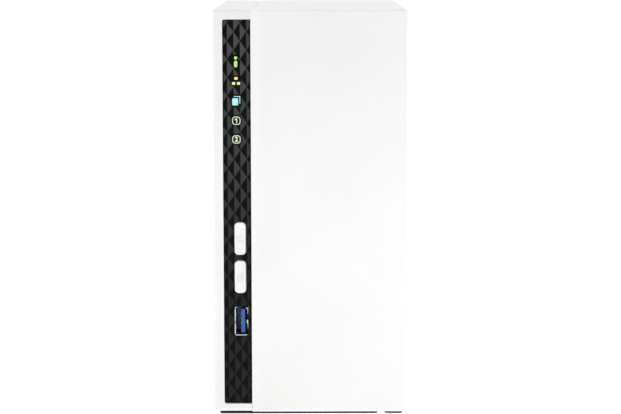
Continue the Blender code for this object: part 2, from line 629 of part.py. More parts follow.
def lan_port():
    top, front = LAN_BOTTOM + LAN_WIDTH, MOUTH_BACK - LAN_LENGTH
    body = box("lan_port", (SEAT, front, LAN_BOTTOM), (SEAT + LAN_HEIGHT, MOUTH_BACK, top))
    middle = LAN_BOTTOM + LAN_WIDTH / 2
    floor = SEAT + LAN_FLOOR
    roof = floor + LAN_MOUTH_HEIGHT
    mouth = [
        (floor, middle - LAN_MOUTH_WIDTH / 2),
        (roof, middle - LAN_MOUTH_WIDTH / 2),
        (roof, middle - LAN_LATCH_WIDTH / 2),
        (roof + LAN_LATCH_HEIGHT, middle - LAN_LATCH_WIDTH / 2),
        (roof + LAN_LATCH_HEIGHT, middle + LAN_LATCH_WIDTH / 2),
        (roof, middle + LAN_LATCH_WIDTH / 2),
        (roof, middle + LAN_MOUTH_WIDTH / 2),
        (floor, middle + LAN_MOUTH_WIDTH / 2),
    ]
    inside = MOUTH_BACK - LAN_MOUTH_DEPTH
    cut(body, plate("lan_mouth", [mouth], "XZ", inside, LAN_MOUTH_DEPTH + THROUGH))
    make_part(body, "plated_steel")


def power_jack():
    front, top = MOUTH_BACK - JACK_LENGTH, JACK_BOTTOM + JACK_WIDTH
    body = box("power_jack", (SEAT, front, JACK_BOTTOM), (SEAT + JACK_HEIGHT, MOUTH_BACK, top))
    across, up = SEAT + JACK_HEIGHT / 2, JACK_BOTTOM + JACK_WIDTH / 2
    inside = MOUTH_BACK - JACK_BORE_DEPTH
    cut(body, rod("jack_bore", (across, inside, up), JACK_BORE_DEPTH + THROUGH, JACK_BORE, "Y"))
    make_part(body, "connector_plastic")
    length = JACK_BORE_DEPTH - GAP - JACK_PIN_RECESS
    make_part(rod("power_jack_pin", (across, inside + GAP, up), length, JACK_PIN, "Y", 16), "plated_steel")


def reset_button():
    half = SWITCH_SIZE / 2
    low = (SEAT, RESET_FRONT, RESET_UP - half)
    switch = box("reset_switch", low, (2 * RESET_ACROSS - SEAT, RESET_BACK, RESET_UP + half))
    well_start = (RESET_ACROSS, RESET_BACK - RESET_WELL, RESET_UP)
    well = rod("reset_well", well_start, RESET_WELL + THROUGH, RESET_PLUNGER + GAP, "Y", 12)
    make_part(cut(switch, well), "connector_plastic")
    start = (RESET_ACROSS, RESET_BACK + RESET_REACH - RESET_PLUNGER_LENGTH, RESET_UP)
    plunger = rod("reset_plunger", start, RESET_PLUNGER_LENGTH, RESET_PLUNGER, "Y", 12)
    make_part(plunger, "connector_plastic")


def ring_slot(inner, outer, middle_angle):
    """A slot of the fan grille between two of its spokes."""
    outline = []
    steps = max(GRILLE_FEWEST_STEPS, round(outer / GRILLE_STEP_LENGTH))
    for radius, forward in ((inner, 1), (outer, -1)):
        spare = math.asin(GRILLE_SPOKE / 2 / radius)
        reach = math.pi / 4 - spare
        for step in range(steps + 1):
            angle = middle_angle + forward * reach * (2 * step / steps - 1)
            outline.append((FAN_ACROSS + radius * math.cos(angle), FAN_UP + radius * math.sin(angle)))
    return outline


def port_cutout(up, width, rise):
    low = (SEAT - PORT_CLEARANCE, up - PORT_CLEARANCE)
    return rectangle(low, (SEAT + rise + PORT_CLEARANCE, up + width + PORT_CLEARANCE))


def fan_corners():
    half = FAN_HOLE_PITCH / 2
    return [(FAN_ACROSS + i * half, FAN_UP + j * half) for i in (-1, 1) for j in (-1, 1)]


def rear_panel():
    holes = [port_cutout(up, USB_WIDTH, USB_HEIGHT) for up in REAR_USB_BOTTOMS.values()]
    holes.append(port_cutout(LAN_BOTTOM, LAN_WIDTH, LAN_HEIGHT))
    holes.append(port_cutout(JACK_BOTTOM, JACK_WIDTH, JACK_HEIGHT))
    holes.append(circle((RESET_ACROSS, RESET_UP), RESET_HOLE, 12))
    holes.append(rectangle(*LOCK_SLOT, radius=PANEL_ROUND))
    holes += [circle(corner, FAN_HOLE, 16) for corner in fan_corners()]
    holes += [circle(spot, THUMB_HOLE, 16) for spot in THUMB_PLACES.values()]
    for ring in range(GRILLE_RINGS):
        inner = GRILLE_FIRST + ring * GRILLE_STEP
        for quarter in range(4):
            holes.append(ring_slot(inner, inner + GRILLE_SLOT, quarter * math.pi / 2))
    outline = rectangle((-PANEL_SIDE, PANEL_BOTTOM), (PANEL_SIDE, PANEL_TOP), PANEL_ROUND)
    make_part(plate("rear_panel", [outline] + holes, "XZ", PANEL_FRONT, PANEL_SHEET), "painted_steel")


def fan_frame():
    half, depth = FAN_SIZE / 2, FAN_BACK - FAN_FRONT
    low = (FAN_ACROSS - half, FAN_FRONT, FAN_UP - half)
    frame = box("fan_frame", low, (FAN_ACROSS + half, FAN_BACK, FAN_UP + half))
    middle = (FAN_FRONT + FAN_BACK) / 2
    round_edges(frame, FAN_ROUND, lambda across, back, up: abs(back - middle) < GAP, 2)
    pockets, holes = [], []
    for i in (-1, 1):
        for j in (-1, 1):
            inner = (FAN_ACROSS + i * (half - FAN_POCKET), FAN_UP + j * (half - FAN_POCKET))
            outer = (FAN_ACROSS + i * (half + THROUGH), FAN_UP + j * (half + THROUGH))
            pocket_low = (min(inner[0], outer[0]), FAN_FRONT + FAN_FLANGE, min(inner[1], outer[1]))
            pocket_high = (max(inner[0], outer[0]), FAN_BACK - FAN_FLANGE, max(inner[1], outer[1]))
            pockets.append(box("pocket", pocket_low, pocket_high))
    for across, up in fan_corners():
        start = (across, FAN_FRONT - THROUGH, up)
        holes.append(rod("hole", start, depth + 2 * THROUGH, FAN_HOLE, "Y", 12))
    bore_start = (FAN_ACROSS, FAN_FRONT - THROUGH, FAN_UP)
    cut(frame, one_mesh("fan_pockets", pockets), one_mesh("fan_holes", holes))
    cut(frame, rod("fan_bore", bore_start, depth + 2 * THROUGH, FAN_BORE, "Y", 48))

    motor = rod("fan_motor", (FAN_ACROSS, MOTOR_FRONT, FAN_UP), FAN_BACK - GAP - MOTOR_FRONT, MOTOR_RADIUS, "Y", 32)
    for index in range(STRUT_COUNT):
        strut = box(
            "strut_%d" % index,
            (FAN_ACROSS, STRUT_FRONT, FAN_UP - STRUT_WIDTH / 2),
            (FAN_ACROSS + FAN_BORE + OVERLAP, FAN_BACK - 2 * GAP, FAN_UP + STRUT_WIDTH / 2),
        )
        turn_about_fan(strut, math.radians(STRUT_TURN) + 2 * math.pi * index / STRUT_COUNT)
        join(motor, strut)
    shaft_start = (FAN_ACROSS, MOTOR_FRONT - THROUGH, FAN_UP)
    shaft_hole = rod("fan_shaft_hole", shaft_start, 3 * THROUGH, SHAFT_BORE, "Y", 24)
    cut(join(frame, motor), shaft_hole)
    make_part(frame, "black_plastic")


def turn_about_fan(shape, angle):
    centre = Matrix.Translation(place(FAN_ACROSS, 0, FAN_UP))
    turn = Matrix.Rotation(angle, 4, "Y")
    shape.matrix_world = centre @ turn @ centre.inverted() @ shape.matrix_world


def fan_rotor():
    """Hub, shaft and pitched blades, with the origin on the shaft."""
    rotor = rod("fan_rotor", (FAN_ACROSS, ROTOR_FRONT, FAN_UP), ROTOR_BACK - ROTOR_FRONT, HUB_RADIUS, "Y", 32)
    blades = []
    middle = (ROTOR_FRONT + ROTOR_BACK) / 2
    for index in range(BLADE_COUNT):
        blade = box(
            "blade",
            (FAN_ACROSS + BLADE_ROOT, middle - BLADE_CHORD / 2, FAN_UP - BLADE_THICKNESS / 2),
            (FAN_ACROSS + BLADE_TIP, middle + BLADE_CHORD / 2, FAN_UP + BLADE_THICKNESS / 2),
        )
        blade.matrix_world = blade.matrix_world @ Matrix.Rotation(math.radians(BLADE_PITCH), 4, "X")
        turn_about_fan(blade, 2 * math.pi * index / BLADE_COUNT)
        blades.append(blade)
    shaft_start = (FAN_ACROSS, ROTOR_BACK - WALL, FAN_UP)
    shaft = rod("fan_shaft", shaft_start, SHAFT_END - ROTOR_BACK + WALL, SHAFT_RADIUS, "Y", 24)
    make_part(join(rotor, one_mesh("fan_blades", blades), shaft), "black_plastic")


def fan_cable():
    """Cable from the side of the fan to its header, along one smooth bend."""
    ends = [CABLE_START, CABLE_START_HANDLE, CABLE_END_HANDLE, CABLE_END]
    route = geometry.interpolate_bezier(*[place(*end) for end in ends], CABLE_POINTS)
    curve = bpy.data.curves.new("fan_cable", "CURVE")
    curve.dimensions = "3D"
    curve.bevel_depth = CABLE_RADIUS * MM
    curve.bevel_resolution = 2
    curve.use_fill_caps = True
    spline = curve.splines.new("POLY")
    spline.points.add(len(route) - 1)
    for point, spot in zip(spline.points, route):
        point.co = (*spot, 1)
    make_part(meshed("fan_cable", curve, Matrix.Identity(4)), "rubber")


def drive(name, left):
    """A hard disk drive standing on its connector end: case, lid and circuit board."""
    right, back = left + DRIVE_THICKNESS, DRIVE_FRONT + DRIVE_WIDTH
    top = DRIVE_BOTTOM + DRIVE_LENGTH
    case_low = (left, DRIVE_FRONT, DRIVE_BOTTOM)
    case = box(name + "_case", case_low, (right - LID_THICKNESS - GAP, back, top))
    round_edges(case, DRIVE_ROUND, lambda across, b, up: left + LID_MARGIN < across < right - 2 * LID_MARGIN and up > top - GAP)
    length, width = DRIVE_BOARD_SIZE
    board_front = DRIVE_FRONT + (DRIVE_WIDTH - length) / 2
    board_bottom = DRIVE_BOTTOM + LID_MARGIN
    recess_low = (left - THROUGH, board_front - GAP, board_bottom - GAP)
    recess_high = (left + DRIVE_RECESS, board_front + length + GAP, board_bottom + width + GAP)
    socket_left = left + SOCKET_IN
    spare = SOCKET_POCKET_SPARE
    tongue_left = socket_left + (SOCKET_WIDTH - SOCKET_TONGUE_WIDTH) / 2
    pocket_low = (tongue_left - spare, SOCKET_FRONT + LID_MARGIN - spare, DRIVE_BOTTOM - THROUGH)
    pocket_high = (
        tongue_left + SOCKET_TONGUE_WIDTH + spare,
        SOCKET_FRONT + SOCKET_LENGTH - LID_MARGIN + spare,
        DRIVE_BOTTOM + SOCKET_TONGUE_RISE + spare,
    )
    cut(case, box(name + "_recess", recess_low, recess_high), box(name + "_pocket", pocket_low, pocket_high))
    for index, along in enumerate(DRIVE_SCREW_UPS):
        start = (left + DRIVE_SCREW_IN, DRIVE_FRONT - THROUGH, DRIVE_BOTTOM + along)
        hole = rod("%s_hole_%d" % (name, index), start, THROUGH + SCREW_LENGTH, SCREW_HOLE, "Y", 12)
        cut(case, hole)
    make_part(case, "aluminium")

    lid_outline = rectangle(
        (DRIVE_FRONT + LID_MARGIN, DRIVE_BOTTOM + LID_MARGIN), (back - LID_MARGIN, top - LID_MARGIN), LID_ROUND
    )
    lid = plate(name + "_lid", [lid_outline], "YZ", right - LID_THICKNESS, LID_THICKNESS)
    make_part(lid, "plated_steel")
    board_low = (left + GAP, board_front, board_bottom)
    board_high = (left + GAP + DRIVE_BOARD_THICKNESS, board_front + length, board_bottom + width)
    make_part(box(name + "_board", board_low, board_high), "circuit_green")

    tongue_bottom = BACKPLANE_BOTTOM + BOARD_SHEET + GAP
    socket_low = (socket_left, SOCKET_FRONT, tongue_bottom)
    socket_high = (socket_left + SOCKET_WIDTH, SOCKET_FRONT + SOCKET_LENGTH, DRIVE_BOTTOM - GAP)
    socket = box(name + "_socket", socket_low, socket_high)
    tongue_low = (tongue_left, SOCKET_FRONT + LID_MARGIN, DRIVE_BOTTOM - OVERLAP)
    tongue_high = (
        tongue_left + SOCKET_TONGUE_WIDTH,
        SOCKET_FRONT + SOCKET_LENGTH - LID_MARGIN,
        DRIVE_BOTTOM + SOCKET_TONGUE_RISE,
    )
    make_part(join(socket, box(name + "_tongue", tongue_low, tongue_high)), "connector_plastic")


def backplane():
    holes = [circle(post, PIN_HOLE, 12) for post in BACKPLANE_POSTS]
    outline = rectangle((BACKPLANE_LEFT, BACKPLANE_FRONT), (BACKPLANE_RIGHT, BACKPLANE_BACK))
    board = plate("drive_backplane", [outline] + holes, "XY", BACKPLANE_BOTTOM, BOARD_SHEET)
    make_part(board, "circuit_green")
    riser = box("riser_socket", (SEAT, RISER_FRONT, RISER_BOTTOM), (RISER_RIGHT, RISER_BACK, RISER_TOP))
    slot_low = (BACKPLANE_LEFT - GAP, RISER_FRONT - THROUGH, BACKPLANE_BOTTOM - GAP)
    slot_high = (RISER_RIGHT + THROUGH, RISER_BACK + THROUGH, BACKPLANE_BOTTOM + BOARD_SHEET + GAP)
    make_part(cut(riser, box("riser_slot", slot_low, slot_high)), "connector_plastic")


def drive_cage():
    """Folded sheet round the drives: a left wall, and front and back walls on feet."""
    wall = [
        (CAGE_LEFT, CAGE_BOTTOM),
        (CAGE_STEP_RIGHT, CAGE_BOTTOM),
        (CAGE_STEP_RIGHT, CAGE_STEP_UP),
        (CAGE_RIGHT, CAGE_STEP_UP),
        (CAGE_RIGHT, CAGE_TOP),
        (CAGE_LEFT, CAGE_TOP),
    ]
    cage = plate("drive_cage", [wall], "XZ", CAGE_FRONT, CAGE_SHEET)
    join(
        cage,
        plate("cage_back", [wall], "XZ", CAGE_BACK - CAGE_SHEET, CAGE_SHEET),
        box(
            "cage_left",
            (CAGE_LEFT, CAGE_FRONT + CAGE_SHEET / 2, CAGE_STEP_UP),
            (CAGE_LEFT + CAGE_SHEET, CAGE_BACK - CAGE_SHEET / 2, CAGE_TOP),
        ),
    )
    for name, front in (("front", CAGE_FRONT), ("back", CAGE_BACK - CAGE_FOOT)):
        foot_low = (CAGE_LEFT, front, CAGE_BOTTOM)
        join(cage, box("cage_foot_" + name, foot_low, (CAGE_STEP_RIGHT, front + CAGE_FOOT, CAGE_BOTTOM + CAGE_SHEET)))
    holes = []
    for left in DRIVE_LEFTS.values():
        for along in DRIVE_SCREW_UPS:
            start = (left + DRIVE_SCREW_IN, CAGE_FRONT - THROUGH, DRIVE_BOTTOM + along)
            holes.append(rod("hole", start, THROUGH + CAGE_SHEET * 2, SCREW_HOLE, "Y", 12))
    for index in range(CAGE_VENT_COUNT):
        front = CAGE_VENT_FIRST + index * CAGE_VENT_STEP
        vent_low = (CAGE_LEFT - THROUGH, front, CAGE_VENT_BOTTOM)
        vent_high = (CAGE_LEFT + 2 * CAGE_SHEET, front + CAGE_VENT_WIDTH, CAGE_VENT_BOTTOM + CAGE_VENT_LENGTH)
        holes.append(box("vent", vent_low, vent_high))
    make_part(cut(cage, one_mesh("cage_holes", holes)), "plated_steel")


def screw(name, head_start, head_radius, head_height, shank_radius, shank_length, towards_back):
    """A screw along the depth. Its head starts at the outer face and the shank follows inwards."""
    across, outer, up = head_start
    direction = 1 if towards_back else -1
    head_front = min(outer, outer + direction * head_height)
    head = rod(name, (across, head_front, up), head_height, head_radius, "Y", 20)
    shank_outer = outer + direction * (head_height - OVERLAP)
    shank_inner = shank_outer + direction * (shank_length + OVERLAP)
    shank_front = min(shank_outer, shank_inner)
    shank = rod(name + "_shank", (across, shank_front, up), shank_length + OVERLAP, shank_radius, "Y", 12)
    slot_ends = (outer - direction * THROUGH, outer + direction * DRIVER_SLOT_DEPTH)
    reach, half = head_radius * DRIVER_SLOT_SHARE, DRIVER_SLOT_WIDTH / 2
    slots = [
        box(name + "_slot_x", (across - reach, min(slot_ends), up - half), (across + reach, max(slot_ends), up + half)),
        box(name + "_slot_z", (across - half, min(slot_ends), up - reach), (across + half, max(slot_ends), up + reach)),
    ]
    make_part(cut(join(head, shank), *slots), "plated_steel")


def screws():
    for name, left in DRIVE_LEFTS.items():
        for along, level in zip(DRIVE_SCREW_UPS, ("lower", "upper")):
            outer = CAGE_FRONT - GAP - SCREW_HEAD_HEIGHT
            spot = (left + DRIVE_SCREW_IN, outer, DRIVE_BOTTOM + along)
            screw(f"{name}_screw_{level}", spot, SCREW_HEAD, SCREW_HEAD_HEIGHT, SCREW_SHANK, SCREW_LENGTH, True)
    panel_back = PANEL_FRONT + PANEL_SHEET + GAP
    for number, (across, up) in enumerate(fan_corners(), start=1):
        spot = (across, panel_back + FAN_SCREW_HEIGHT, up)
        screw("fan_screw_%d" % number, spot, FAN_SCREW_HEAD, FAN_SCREW_HEIGHT, FAN_SCREW_SHANK, FAN_SCREW_LENGTH, False)
    for level, (across, up) in THUMB_PLACES.items():
        spot = (across, panel_back + THUMB_HEIGHT, up)
        screw("cover_screw_" + level, spot, THUMB_HEAD, THUMB_HEIGHT, THUMB_SHANK, THUMB_LENGTH, False)


def feet():
    for row, (front, back) in FOOT_ROWS.items():
        for name, (left, right) in ((row + "_foot_bar", SHELL_FOOT), ("cover_foot_" + row, COVER_FOOT)):
            foot = box(name, (left, front, 0), (right, back, FOOT_HEIGHT))
            make_part(round_edges(foot, FOOT_ROUND, lambda across, b, up: up < GAP, 1), "rubber")


def build():
    clear_scene()
    main_shell()
    side_cover()
    front_strip()
    for name, (bottom, top) in BUTTON_SPANS.items():
        front_button(name, bottom, top)
    lights()
    main_board()
    usb_socket("front_usb", FRONT_USB_BOTTOM, FRONT_USB_MOUTH, 1, "usb_blue")
    for level, up in REAR_USB_BOTTOMS.items():
        usb_socket("rear_usb_" + level, up, MOUTH_BACK, -1, "connector_plastic")
    lan_port()
    power_jack()
    reset_button()
    rear_panel()
    fan_frame()
    fan_rotor()
    fan_cable()
    for name, left in DRIVE_LEFTS.items():
        drive(name, left)
    backplane()
    drive_cage()
    screws()
    feet()


build()
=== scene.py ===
import math

import bmesh
import bpy
from mathutils import Matrix, Vector


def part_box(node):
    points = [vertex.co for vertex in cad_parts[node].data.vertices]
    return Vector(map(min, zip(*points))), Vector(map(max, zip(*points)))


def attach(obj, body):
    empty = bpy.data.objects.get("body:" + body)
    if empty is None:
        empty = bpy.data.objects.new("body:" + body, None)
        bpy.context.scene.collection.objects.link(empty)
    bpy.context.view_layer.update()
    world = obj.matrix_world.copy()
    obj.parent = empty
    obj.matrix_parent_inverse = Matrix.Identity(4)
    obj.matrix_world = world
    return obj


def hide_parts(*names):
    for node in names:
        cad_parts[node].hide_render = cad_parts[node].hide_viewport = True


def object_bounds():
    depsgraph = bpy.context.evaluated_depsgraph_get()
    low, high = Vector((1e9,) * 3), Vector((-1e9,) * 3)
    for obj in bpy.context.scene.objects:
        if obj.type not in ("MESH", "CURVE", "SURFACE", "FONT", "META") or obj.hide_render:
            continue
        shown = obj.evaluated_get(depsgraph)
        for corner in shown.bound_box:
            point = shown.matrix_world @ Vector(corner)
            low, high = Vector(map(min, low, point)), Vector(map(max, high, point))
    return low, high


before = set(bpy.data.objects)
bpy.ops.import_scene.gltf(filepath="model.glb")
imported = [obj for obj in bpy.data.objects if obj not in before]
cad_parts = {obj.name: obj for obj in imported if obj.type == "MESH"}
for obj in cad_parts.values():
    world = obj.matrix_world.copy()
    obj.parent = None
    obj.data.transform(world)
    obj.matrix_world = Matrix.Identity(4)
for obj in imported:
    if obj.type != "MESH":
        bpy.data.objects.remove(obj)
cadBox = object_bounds()
mm = 0.001
frontY = cadBox[0][1]
print("frame loaded:", len(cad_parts), "solids")

# Places are (across, back, up) in mm: across from the middle, back from the cover's
# front face, up from the ground. spanOf gives a solid's two corners the same way.
planes = {
    "XY": Matrix(((1, 0, 0), (0, 1, 0), (0, 0, 1))).to_4x4(),
    "XZ": Matrix(((1, 0, 0), (0, 0, -1), (0, 1, 0))).to_4x4(),
    "YZ": Matrix(((0, 0, 1), (1, 0, 0), (0, 1, 0))).to_4x4(),
}
turns = {
    "X": Matrix.Rotation(math.pi / 2, 4, "Y"),
    "Y": Matrix.Rotation(-math.pi / 2, 4, "X"),
    "-Y": Matrix.Rotation(math.pi / 2, 4, "X"),
    "Z": Matrix.Identity(4),
}


def at(across, back, up):
    return Vector((across * mm, frontY + back * mm, up * mm))


def spanOf(nodeName):
    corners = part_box(nodeName)
    return [Vector((c[0] / mm, (c[1] - frontY) / mm, c[2] / mm)) for c in corners]


def middleOf(low, high):
    return (low.x + high.x) / 2, (low.z + high.z) / 2


def newShape(name, mesh, matrix):
    shape = bpy.data.objects.new(name, mesh)
    shape.matrix_world = matrix
    bpy.context.scene.collection.objects.link(shape)
    return shape


def fromBmesh(name, work, matrix):
    mesh = bpy.data.meshes.new(name)
    work.to_mesh(mesh)
    work.free()
    return newShape(name, mesh, matrix)


def block(name, low, high):
    low, high = at(*low), at(*high)
    work = bmesh.new()
    bmesh.ops.create_cube(work, size=1.0)
    bmesh.ops.scale(work, vec=high - low, verts=work.verts)
    return fromBmesh(name, work, Matrix.Translation((low + high) / 2))


def turned(name, start, axis, profile, steps=48):
    # profile: (radius, distance along the axis) in mm, closed on the axis by its end points
    work = bmesh.new()
    points = [work.verts.new((radius * mm, 0, along * mm)) for radius, along in profile]
    for first, second in zip(points, points[1:]):
        work.edges.new((first, second))
    bmesh.ops.spin(
        work,
        geom=work.verts[:] + work.edges[:],
        cent=(0, 0, 0),
        axis=(0, 0, 1),
        angle=2 * math.pi,
        steps=steps,
        use_merge=True,
    )
    bmesh.ops.remove_doubles(work, verts=work.verts, dist=0.0000005)
    bmesh.ops.recalc_face_normals(work, faces=work.faces)
    return fromBmesh(name, work, Matrix.Translation(at(*start)) @ turns[axis])


def rod(name, start, axis, radius, length, steps=32):
    return turned(name, start, axis, [(0, 0), (radius, 0), (radius, length), (0, length)], steps)


def flat(name, outlines, plane, start, thickness):
    # outlines drawn in a plane and thickened along its normal; an outline inside another is a hole
    curve = bpy.data.curves.new(name, "CURVE")
    curve.dimensions = "2D"
    curve.fill_mode = "BOTH"
    curve.extrude = thickness * mm / 2
    for outline in outlines:
        spline = curve.splines.new("POLY")
        spline.points.add(len(outline) - 1)
        for point, (first, second) in zip(spline.points, outline):
            point.co = (first * mm, second * mm, 0, 1)
        spline.use_cyclic_u = True
    middle = start + thickness / 2
    centre = {"XY": (0, 0, middle), "XZ": (0, middle, 0), "YZ": (middle, 0, 0)}[plane]
    return meshFromCurve(name, curve, Matrix.Translation(at(*centre)) @ planes[plane])


def meshFromCurve(name, curve, matrix):
    drawn = newShape(name + "Curve", curve, matrix)
    mesh = bpy.data.meshes.new_from_object(drawn.evaluated_get(bpy.context.evaluated_depsgraph_get()))
    bpy.data.objects.remove(drawn)
    work = bmesh.new()
    work.from_mesh(mesh)
    bmesh.ops.remove_doubles(work, verts=work.verts, dist=0.000002)
    bmesh.ops.recalc_face_normals(work, faces=work.faces)
    bpy.data.meshes.remove(mesh)
    return fromBmesh(name, work, matrix)


def roundedOutline(corners, radius, steps=6):
    outline = []
    for index, corner in enumerate(corners):
        corner = Vector(corner)
        before = (Vector(corners[index - 1]) - corner).normalized()
        after = (Vector(corners[(index + 1) % len(corners)]) - corner).normalized()
        half = before.angle(after) / 2
        centre = corner + (before + after).normalized() * radius / math.sin(half)
        first = corner + before * radius / math.tan(half) - centre
        sweep = first.angle_signed(corner + after * radius / math.tan(half) - centre)
        for step in range(steps + 1):
            outline.append(centre + Matrix.Rotation(-sweep * step / steps, 2) @ first)
    return outline


def rectangle(low, high, radius=0.0, steps=6):
    corners = [low, (high[0], low[1]), high, (low[0], high[1])]
    return roundedOutline(corners, radius, steps) if radius else corners


def ring(centre, radius, sides=32):
    angles = [2 * math.pi * side / sides for side in range(sides)]
    return [(centre[0] + radius * math.cos(a), centre[1] + radius * math.sin(a)) for a in angles]


def roundEdges(shape, radius, share, segments=6):
    # share(across, back, up) says how much of the radius the edge with that middle takes
    weights = shape.data.attributes.new("bevel_weight_edge", "FLOAT", "EDGE")
    for edge in shape.data.edges:
        ends = [shape.matrix_world @ shape.data.vertices[index].co for index in edge.vertices]
        middle = (ends[0] + ends[1]) / 2 / mm
        weights.data[edge.index].value = float(share(middle.x, middle.y - frontY / mm, middle.z))
    bevel = shape.modifiers.new("rounded edges", "BEVEL")
    bevel.limit_method = "WEIGHT"
    bevel.width = radius * mm
    bevel.segments = segments
    return shape


def combine(shape, operation, tools):
    for tool in tools:
        boolean = shape.modifiers.new(operation.lower(), "BOOLEAN")
        boolean.operation = operation
        boolean.object = tool
    return shape


def carve(shape, *tools):
    return combine(shape, "DIFFERENCE", tools)


def addOn(shape, *tools):
    return combine(shape, "UNION", tools)


def gather(name, shapes):
    work = bmesh.new()
    for shape in shapes:
        applyShape(shape)
        shape.data.transform(shape.matrix_world)
        work.from_mesh(shape.data)
        bpy.data.objects.remove(shape)
    return fromBmesh(name, work, Matrix.Identity(4))


def applyShape(shape):
    # the shape's modifiers become its mesh, and the shapes that cut or joined it go
    if not shape.modifiers:
        return
    tools = [modifier.object for modifier in shape.modifiers if modifier.type == "BOOLEAN"]
    graph = bpy.context.evaluated_depsgraph_get()
    mesh = bpy.data.meshes.new_from_object(shape.evaluated_get(graph))
    shape.modifiers.clear()
    shape.data = mesh
    for tool in tools:
        bpy.data.objects.remove(tool)


def finishPiece(shape, body, material, stands=(), soft=0.2, segments=2, angle=30):
    # edges softened as a mould or press leaves them, then material and body
    applyShape(shape)
    if soft:
        bevel = shape.modifiers.new("soft edges", "BEVEL")
        bevel.width = soft * mm
        bevel.segments = segments
        bevel.angle_limit = math.radians(angle)
        bevel.miter_outer = "MITER_ARC"
        applyShape(shape)
    shape.data.shade_smooth()
    shape.data.set_sharp_from_angle(angle=math.radians(40))
    normals = shape.modifiers.new("even shading", "WEIGHTED_NORMAL")
    normals.keep_sharp = True
    shape.data.materials.clear()
    shape.data.materials.append(material)
    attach(shape, body)
    if stands:
        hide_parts(*stands)
    return shape


def hexColour(code):
    channels = [int(code[i : i + 2], 16) / 255 for i in (1, 3, 5)]
    linear = [c / 12.92 if c <= 0.04045 else ((c + 0.055) / 1.055) ** 2.4 for c in channels]
    return (*linear, 1.0)


def addNode(tree, kind, values=None, links=None, **settings):
    # one node: settings are its own options, values its sockets' numbers, links what feeds them
    node = tree.nodes.new(kind)
    for name, setting in settings.items():
        setattr(node, name, setting)
    for name, value in (values or {}).items():
        node.inputs[name].default_value = value
    for name, source in (links or {}).items():
        tree.links.new(source, node.inputs[name])
    return node


def newMaterial(name):
    material = bpy.data.materials.new(name)
    material.use_nodes = True
    tree = material.node_tree
    shader = tree.nodes["Principled BSDF"]
    place = addNode(tree, "ShaderNodeTexCoord").outputs["Object"]
    return material, tree, shader, place


# a colour Mix node takes its two colours at the first two sockets and gives the mix at the third
mixFirst, mixSecond, mixResult = 6, 7, 2
noiseSpan = {"From Min": 0.3, "From Max": 0.7}  # where nearly all of a noise texture's values lie


def surface(name, look):
    # colour drift, roughness drift and relief from noise. Sizes are in mm, and relief is
    # (height, strength)
    material, tree, shader, place = newMaterial(name)
    for socket, value in look.get("shader", {}).items():
        shader.inputs[socket].default_value = value
    stretch = {"Scale": look.get("stretch", (1, 1, 1))}
    mapped = addNode(tree, "ShaderNodeMapping", stretch, {"Vector": place}).outputs[0]
    noises = []
    for size, detail in ((look["driftMm"], 3.0), (look["grainMm"], 4.0)):
        values = {"Scale": 1 / (size * mm), "Detail": detail}
        noises.append(addNode(tree, "ShaderNodeTexNoise", values, {"Vector": mapped}).outputs[0])
    drift, grain = noises
    blend = addNode(tree, "ShaderNodeMapRange", noiseSpan, {"Value": drift}).outputs[0]
    if "fadeUp" in look:
        # paler from the first height to the second, a painted light as from above, with the drift as a small
        # share of it
        low, high = look["fadeUp"]
        up = addNode(tree, "ShaderNodeSeparateXYZ", {}, {"Vector": place}).outputs["Z"]
        heights = {"From Min": low * mm, "From Max": high * mm}
        rise = addNode(tree, "ShaderNodeMapRange", heights, {"Value": up}).outputs[0]
        share = {"Factor": look["driftShare"]}
        blend = addNode(tree, "ShaderNodeMix", share, {2: rise, 3: blend}).outputs[0]
    first, second = [hexColour(code) for code in look["colours"]]
    colour = addNode(
        tree, "ShaderNodeMix", {mixFirst: first, mixSecond: second}, {"Factor": blend}, data_type="RGBA"
    ).outputs[mixResult]
    if "worn" in look:
        # corners rubbed lighter, where a hand or a tool touches
        paler, most = look["worn"]
        edge = addNode(tree, "ShaderNodeNewGeometry").outputs["Pointiness"]
        sharpness = {"From Min": 0.53, "From Max": 0.62, "To Max": most}
        rub = addNode(tree, "ShaderNodeMapRange", sharpness, {"Value": edge}).outputs[0]
        colour = addNode(
            tree,
            "ShaderNodeMix",
            {mixSecond: hexColour(paler)},
            {"Factor": rub, mixFirst: colour},
            data_type="RGBA",
        ).outputs[mixResult]
    smoothest, roughest = look["rough"]
    rough = addNode(
        tree,
        "ShaderNodeMapRange",
        {**noiseSpan, "To Min": smoothest, "To Max": roughest},
        {"Value": grain if look.get("roughByGrain") else drift},
    ).outputs[0]
    height, strength = look["relief"]
    bumps = {"Strength": strength, "Distance": height * mm}
    relief = addNode(tree, "ShaderNodeBump", bumps, {"Height": grain}).outputs[0]
    for socket, source in (("Base Color", colour), ("Roughness", rough), ("Normal", relief)):
        tree.links.new(source, shader.inputs[socket])
    return material


# white ABS from a spark-eroded mould: even satin white, with a fine matte grain and no flow marks
absMoulded = surface("absMoulded", {
    "colours": ("#f6f6f5", "#f3f3f2"),
    "driftMm": 45,
    "grainMm": 0.55,  # the real grain is about 0.15 mm, drawn coarser so that it shows
    "rough": (0.40, 0.47),
    "relief": (0.03, 0.18),
    "shader": {"IOR": 1.53, "Specular IOR Level": 0.45},
})
# the same ABS from a polished insert: smoother white that a fingertip keeps bright
absPolished = surface("absPolished", {
    "colours": ("#f8f8f7", "#f4f4f3"),
    "driftMm": 6,
    "grainMm": 0.4,
    "rough": (0.24, 0.32),
    "relief": (0.02, 0.1),
    "shader": {"IOR": 1.53},
})
# black styrene of the strip: near-black, with only a faint gloss
styreneFaceted = surface("styreneFaceted", {
    "colours": ("#0d0d0e", "#131314"),
    "driftMm": 18,
    "grainMm": 0.7,
    "rough": (0.30, 0.38),
    "relief": (0.02, 0.12),
    "shader": {"IOR": 1.5, "Specular IOR Level": 0.05},
})
